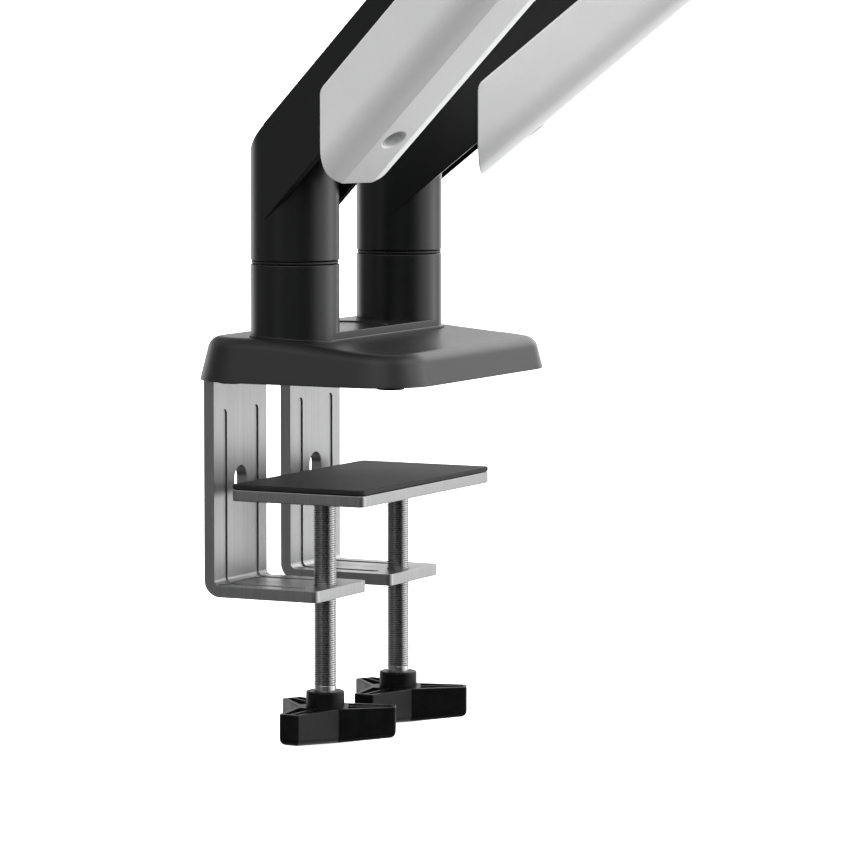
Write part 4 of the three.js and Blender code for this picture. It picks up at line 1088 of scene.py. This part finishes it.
def pin(r, y1, x, z):
    """A plain pin with eased ends and a ring groove near each."""
    prof = [(r - 0.5, -y1), (r, -y1 + 0.5), (r, -y1 + 1.1), (r - 0.35, -y1 + 1.2), (r - 0.35, -y1 + 1.8), (r, -y1 + 1.9)]
    prof = prof + [(a, -b) for a, b in reversed(prof)]
    o = lathe("pin", prof, 48, (x, 0, z), "Y")
    dimple = [rod("d", 1.1, s * (y1 + 1) - (1.6 if s > 0 else 0), s * (y1 + 1) + (0 if s > 0 else 1.6), (x, 0, z), "Y", n=24) for s in (-1, 1)]
    return cut(o, *dimple)


def elbow_bolt():
    return join(rod("shank", 6, 261, 309, e1=1.0), hex_prism(19, 252, 262))


def head_yoke():
    x = PIVOT_X + UPPER_L
    p = x + PAN_X
    o = join(cheeks(x, -1), rod("hub", 15, PIVOT_Z - 14, PIVOT_Z + 14, (p, 0, 0), e0=0.8, e1=0.5, n=96))
    return cut(o, box(x - 20, p - 13, -7.5, 7.5, 200, 340), tube_cut(6.3, 200, 340, (p, 0, 0)))


def pan_knuckle():
    o = join(rod("body", 15, 14.6, 40, e0=0.5, e1=1.8, n=96, k=4), rod("stem", 6, -13.6, 16, e0=0.8), rod("ear", 10, -12, 12, (TILT_X, 0, TILT_Z), "Y", 0.6, 0.6),
             box(5, TILT_X, -10, 10, TILT_Z - 8, TILT_Z + 8))
    return cut(o, tube_cut(4.3, -20, 20, (TILT_X, 0, TILT_Z), "Y"))


def tilt_bolt():
    x, z = TILT_X, TILT_Z
    head = turned(hex_prism(11.2, 17.8, 22.0), Matrix.Translation((x, 0, z)) @ Matrix.Rotation(-math.pi / 2, 4, "X"))
    cap = rod("cap", 6.5, -22, -17.8, (x, 0, z), "Y", 0.9, 0.2)
    o = join(rod("shank", 4, -18.5, 18.5, (x, 0, z), "Y"), head, cap)
    sock = turned(rprism("hex", [(2.9 * math.cos(math.radians(a)), 2.9 * math.sin(math.radians(a))) for a in range(0, 360, 60)], 20.2, 23), Matrix.Translation((x, 0, z)) @ Matrix.Rotation(math.pi / 2, 4, "X"))
    return cut(o, sock)


def tilt_head():
    x, z = TILT_X, TILT_Z

    def ear(y0, y1):
        return join(rod("e", 11, y0, y1, (x, 0, z), "Y", 0.7, 0.7), prism_y("e", [(x, z - 11), (x + 18, z - 11), (x + 18, z + 11), (x, z + 11)], y0, y1, 0.7))
    back = turned(rprism("b", round_rect(20, 20, 5, 10), x + 16, x + 22, 0.8, 0.8, 3), TO_X)
    back.data.transform(Matrix.Translation((0, 0, z)))
    o = join(ear(12.5, 17.5), ear(-17.5, -12.5), back, rod("spigot", 8, x + 21, x + 27.4, (0, 0, z), "X", 0, 0.5))
    return cut(o, tube_cut(4.3, -30, 30, (x, 0, z), "Y"))


def vesa_plate():
    x, z, h = TILT_X + 28, TILT_Z, PLATE_HALF
    p = turned(rprism("p", round_rect(h, h, 8, 12), x, x + 3, 0.5, 0.5, 3), TO_X)
    p.data.transform(Matrix.Translation((0, 0, z)))
    hub = rod("hub", 18, x - 5.4, x + 0.6, (0, 0, z), "X", 0.8, 0, n=96)
    p = join(p, hub)
    cs = [tube_cut(8.4, x - 9, x - 0.3, (0, 0, z), "X")]
    for d in (37.5, 50):
        for a in (-1, 1):
            for b in (-1, 1):
                cs.append(lathe("h", [(3.2, x - 1), (3.2, x - 0.01), (2.4, x + 0.6), (2.4, x + 2.4), (3.1, x + 3.02), (3.1, x + 5)], 32, (0, a * d, z + b * d), "X"))
    for a in (-1, 1):
        w = turned(rprism("w", round_rect(7, 18, 3, 8, a * 33, 0), x - 1, x + 9), TO_X)
        w.data.transform(Matrix.Translation((0, 0, z)))
        cs.append(w)
    return cut(p, *cs)


PIECES = {
    "lower": [("base_ring", base_ring, "base", "black_trim"), ("base_bolt", base_bolt, "{}_lower", "zinc_steel"), ("lower_arm", lower_arm, "{}_lower", "black_casting"),
              ("lower_cover", lower_cover, "{}_lower", "silver_white_shell"), ("cover_screw", cover_screw, "{}_lower", "zinc_steel")],
    "upper": [("elbow_bolt", elbow_bolt, "{}_elbow", "zinc_steel"), ("elbow_yoke", elbow_yoke, "{}_elbow", "black_casting"), ("upper_arm", upper_arm, "{}_upper", "black_casting"),
              ("upper_cover", upper_cover, "{}_upper", "silver_white_shell"), ("lower_link", lower_link, "{}_link", "black_casting"),
              ("elbow_pin_upper", lambda: pin(4, 20.8, PIVOT_X, PIVOT_Z), "{}_elbow", "bare_steel"), ("elbow_pin_lower", lambda: pin(3, 17.7, PIVOT_X, PIVOT_Z - LINK_DROP), "{}_elbow", "bare_steel"),
              ("head_pin_upper", lambda: pin(4, 20.8, PIVOT_X + UPPER_L, PIVOT_Z), "{}_upper", "bare_steel"), ("head_pin_lower", lambda: pin(3, 17.7, PIVOT_X + UPPER_L, PIVOT_Z - LINK_DROP), "{}_head", "bare_steel"),
              ("gas_spring_barrel", spring_barrel, "{}_upper", "black_casting"), ("gas_spring_rod", spring_rod, "{}_spring", "zinc_steel"), ("head_yoke", head_yoke, "{}_head", "black_casting")],
    "head": [("pan_knuckle", pan_knuckle, "{}_pan", "black_casting"), ("tilt_bolt", tilt_bolt, "{}_pan", "zinc_steel"), ("tilt_head", tilt_head, "{}_tilt", "black_casting"), ("vesa_plate", vesa_plate, "{}_screen", "black_casting")],
}


def frames(s):
    low = Matrix.Translation((s * POST_X, POST_Y, 0)) @ Matrix.Rotation(math.radians(s * HEADING - 90), 4, "Z")
    up = low @ Matrix.Translation((ELBOW_S, 0, 0)) @ Matrix.Rotation(math.radians(s * UPPER_TURN), 4, "Z")
    head = up @ Matrix.Translation((PIVOT_X + UPPER_L + PAN_X, 0, PIVOT_Z)) @ Matrix.Rotation(math.radians(-s * (HEADING + UPPER_TURN)), 4, "Z")
    return {"lower": low, "upper": up, "head": head}


for level, rows in PIECES.items():
    for node, make, body, slot in rows:
        first = make()
        second = copy_of(first)
        for o, s, side in ((first, -1, "left"), (second, 1, "right")):
            place(o, f"{side}_{node}", body.format(side), slot, matrix=frames(s)[level])

# ------------------------------------------------------------------ floor
sweep = [(6, -0.1625), (30, -0.1625), (33, 0.3), (34.5, 2.5), (35, 8), (35, 20)]
floor = loft("floor", [[(r * math.cos(a), r * math.sin(a), z) for a in [math.radians(3 * i) for i in range(120)]] for r, z in sweep], cap=False)
inner_ids = list(range(120))
bm = bmesh.new()
bm.from_mesh(floor.data)
bm.verts.ensure_lookup_table()
bm.faces.new([bm.verts[i] for i in inner_ids])
bmesh.ops.recalc_face_normals(bm, faces=bm.faces)
bm.to_mesh(floor.data)
bm.free()
floor.name = "floor"
fm = bpy.data.materials.new("floor")
fm.use_nodes = True
fp = fm.node_tree.nodes["Principled BSDF"]
fp.inputs["Base Color"].default_value = (0.9, 0.9, 0.9, 1)
fp.inputs["Roughness"].default_value = 0.9
fp.inputs["Emission Color"].default_value = (1, 1, 1, 1)
fp.inputs["Emission Strength"].default_value = 1.0
floor.data.materials.append(fm)
floor.visible_shadow = False
floor.visible_diffuse = False
floor.visible_glossy = False

# ------------------------------------------------------------------ light
world = bpy.data.worlds.new("studio")
scene.world = world
world.use_nodes = True
wt = world.node_tree
bg = wt.nodes["Background"]
direction = wt.nodes.new("ShaderNodeTexCoord").outputs["Generated"]


def lobe(d, inner_deg, outer_deg, amount):
    """A soft round source in direction d, full inside inner_deg and gone outside outer_deg."""
    v = wt.nodes.new("ShaderNodeVectorMath")
    v.operation = "DOT_PRODUCT"
    n = Vector(d).normalized()
    v.inputs[1].default_value = n
    wt.links.new(direction, v.inputs[0])
    m = wt.nodes.new("ShaderNodeMapRange")
    m.interpolation_type = "SMOOTHSTEP"
    m.inputs["From Min"].default_value = math.cos(math.radians(outer_deg))
    m.inputs["From Max"].default_value = math.cos(math.radians(inner_deg))
    m.inputs["To Min"].default_value = 0.0
    m.inputs["To Max"].default_value = amount
    wt.links.new(v.outputs["Value"], m.inputs["Value"])
    return m.outputs["Result"]


SOFTBOXES = [                  # bearing, height, full inside, gone outside (degrees), brightness
    (56.8, 0, 2, 24, 1.594),
    (71.8, 0, 2, 24, 0.373),
    (116.8, 0, 2, 24, 0.320),
    (131.8, 0, 2, 24, 0.041),
    (161.8, 0, 2, 24, 0.388),
    (176.8, 0, 2, 24, 0.061),
    (-153.2, 0, 2, 24, 0.032),
    (-93.2, 0, 2, 24, 0.451),
    (-78.2, 0, 2, 24, 1.626),
    (-48.2, 0, 2, 24, 3.194),
    (-33.2, 0, 2, 24, 0.466),
    (-3.2, 0, 2, 24, 0.919),
    (11.8, 0, 2, 24, 1.783),
    (26.8, 33, 2, 34, 0.394),
    (86.8, 33, 2, 34, 0.469),
    (146.8, 33, 2, 34, 1.072),
    (176.8, 33, 2, 34, 0.756),
    (-153.2, 33, 2, 34, 1.902),
    (-93.2, 33, 2, 34, 1.456),
    (-63.2, 33, 2, 34, 2.538),
    (-33.2, 33, 2, 34, 1.461),
    (-3.2, 33, 2, 34, 2.242),
    (26.8, -33, 2, 34, 1.007),
    (86.8, -33, 2, 34, 0.456),
    (-3.2, -33, 2, 34, 0.974),
    (26.8, 68, 2, 40, 0.111),
    (116.8, 68, 2, 40, 0.256),
    (-153.2, 68, 2, 40, 0.875),
    (116.8, -68, 2, 40, 0.067),
    (-153.2, -68, 2, 40, 0.686),
    (26.8, 5, 2, 13, 0.8),
    (-45, -36, 2, 32, 1.15),
]
total = None
for bearing, height, inside, outside, amount in SOFTBOXES:
    b, h = math.radians(bearing), math.radians(height)
    l = lobe((math.cos(h) * math.cos(b), math.cos(h) * math.sin(b), math.sin(h)), inside, outside, amount)
    total = l if total is None else calc(wt, "ADD", total, l)
bg.inputs["Color"].default_value = (1, 1, 1, 1)
wt.links.new(total, bg.inputs["Strength"])

# ------------------------------------------------------------------ camera
cam_data = bpy.data.cameras.new("camera")
cam = bpy.data.objects.new("camera", cam_data)
scene.collection.objects.link(cam)
cam_data.sensor_fit = "HORIZONTAL"
cam_data.sensor_width = 36
cam_data.lens = 206.86
cam_data.clip_start = 0.05
cam_data.clip_end = 100
view = Vector((0.88923, 0.44876, -0.08875)).normalized()
cam.location = (-1.92868, -0.99873, 0.17035)
cam.rotation_euler = view.to_track_quat("-Z", "Y").to_euler()
scene.camera = cam
scene.view_settings.view_transform = "Standard"
scene.view_settings.look = "None"
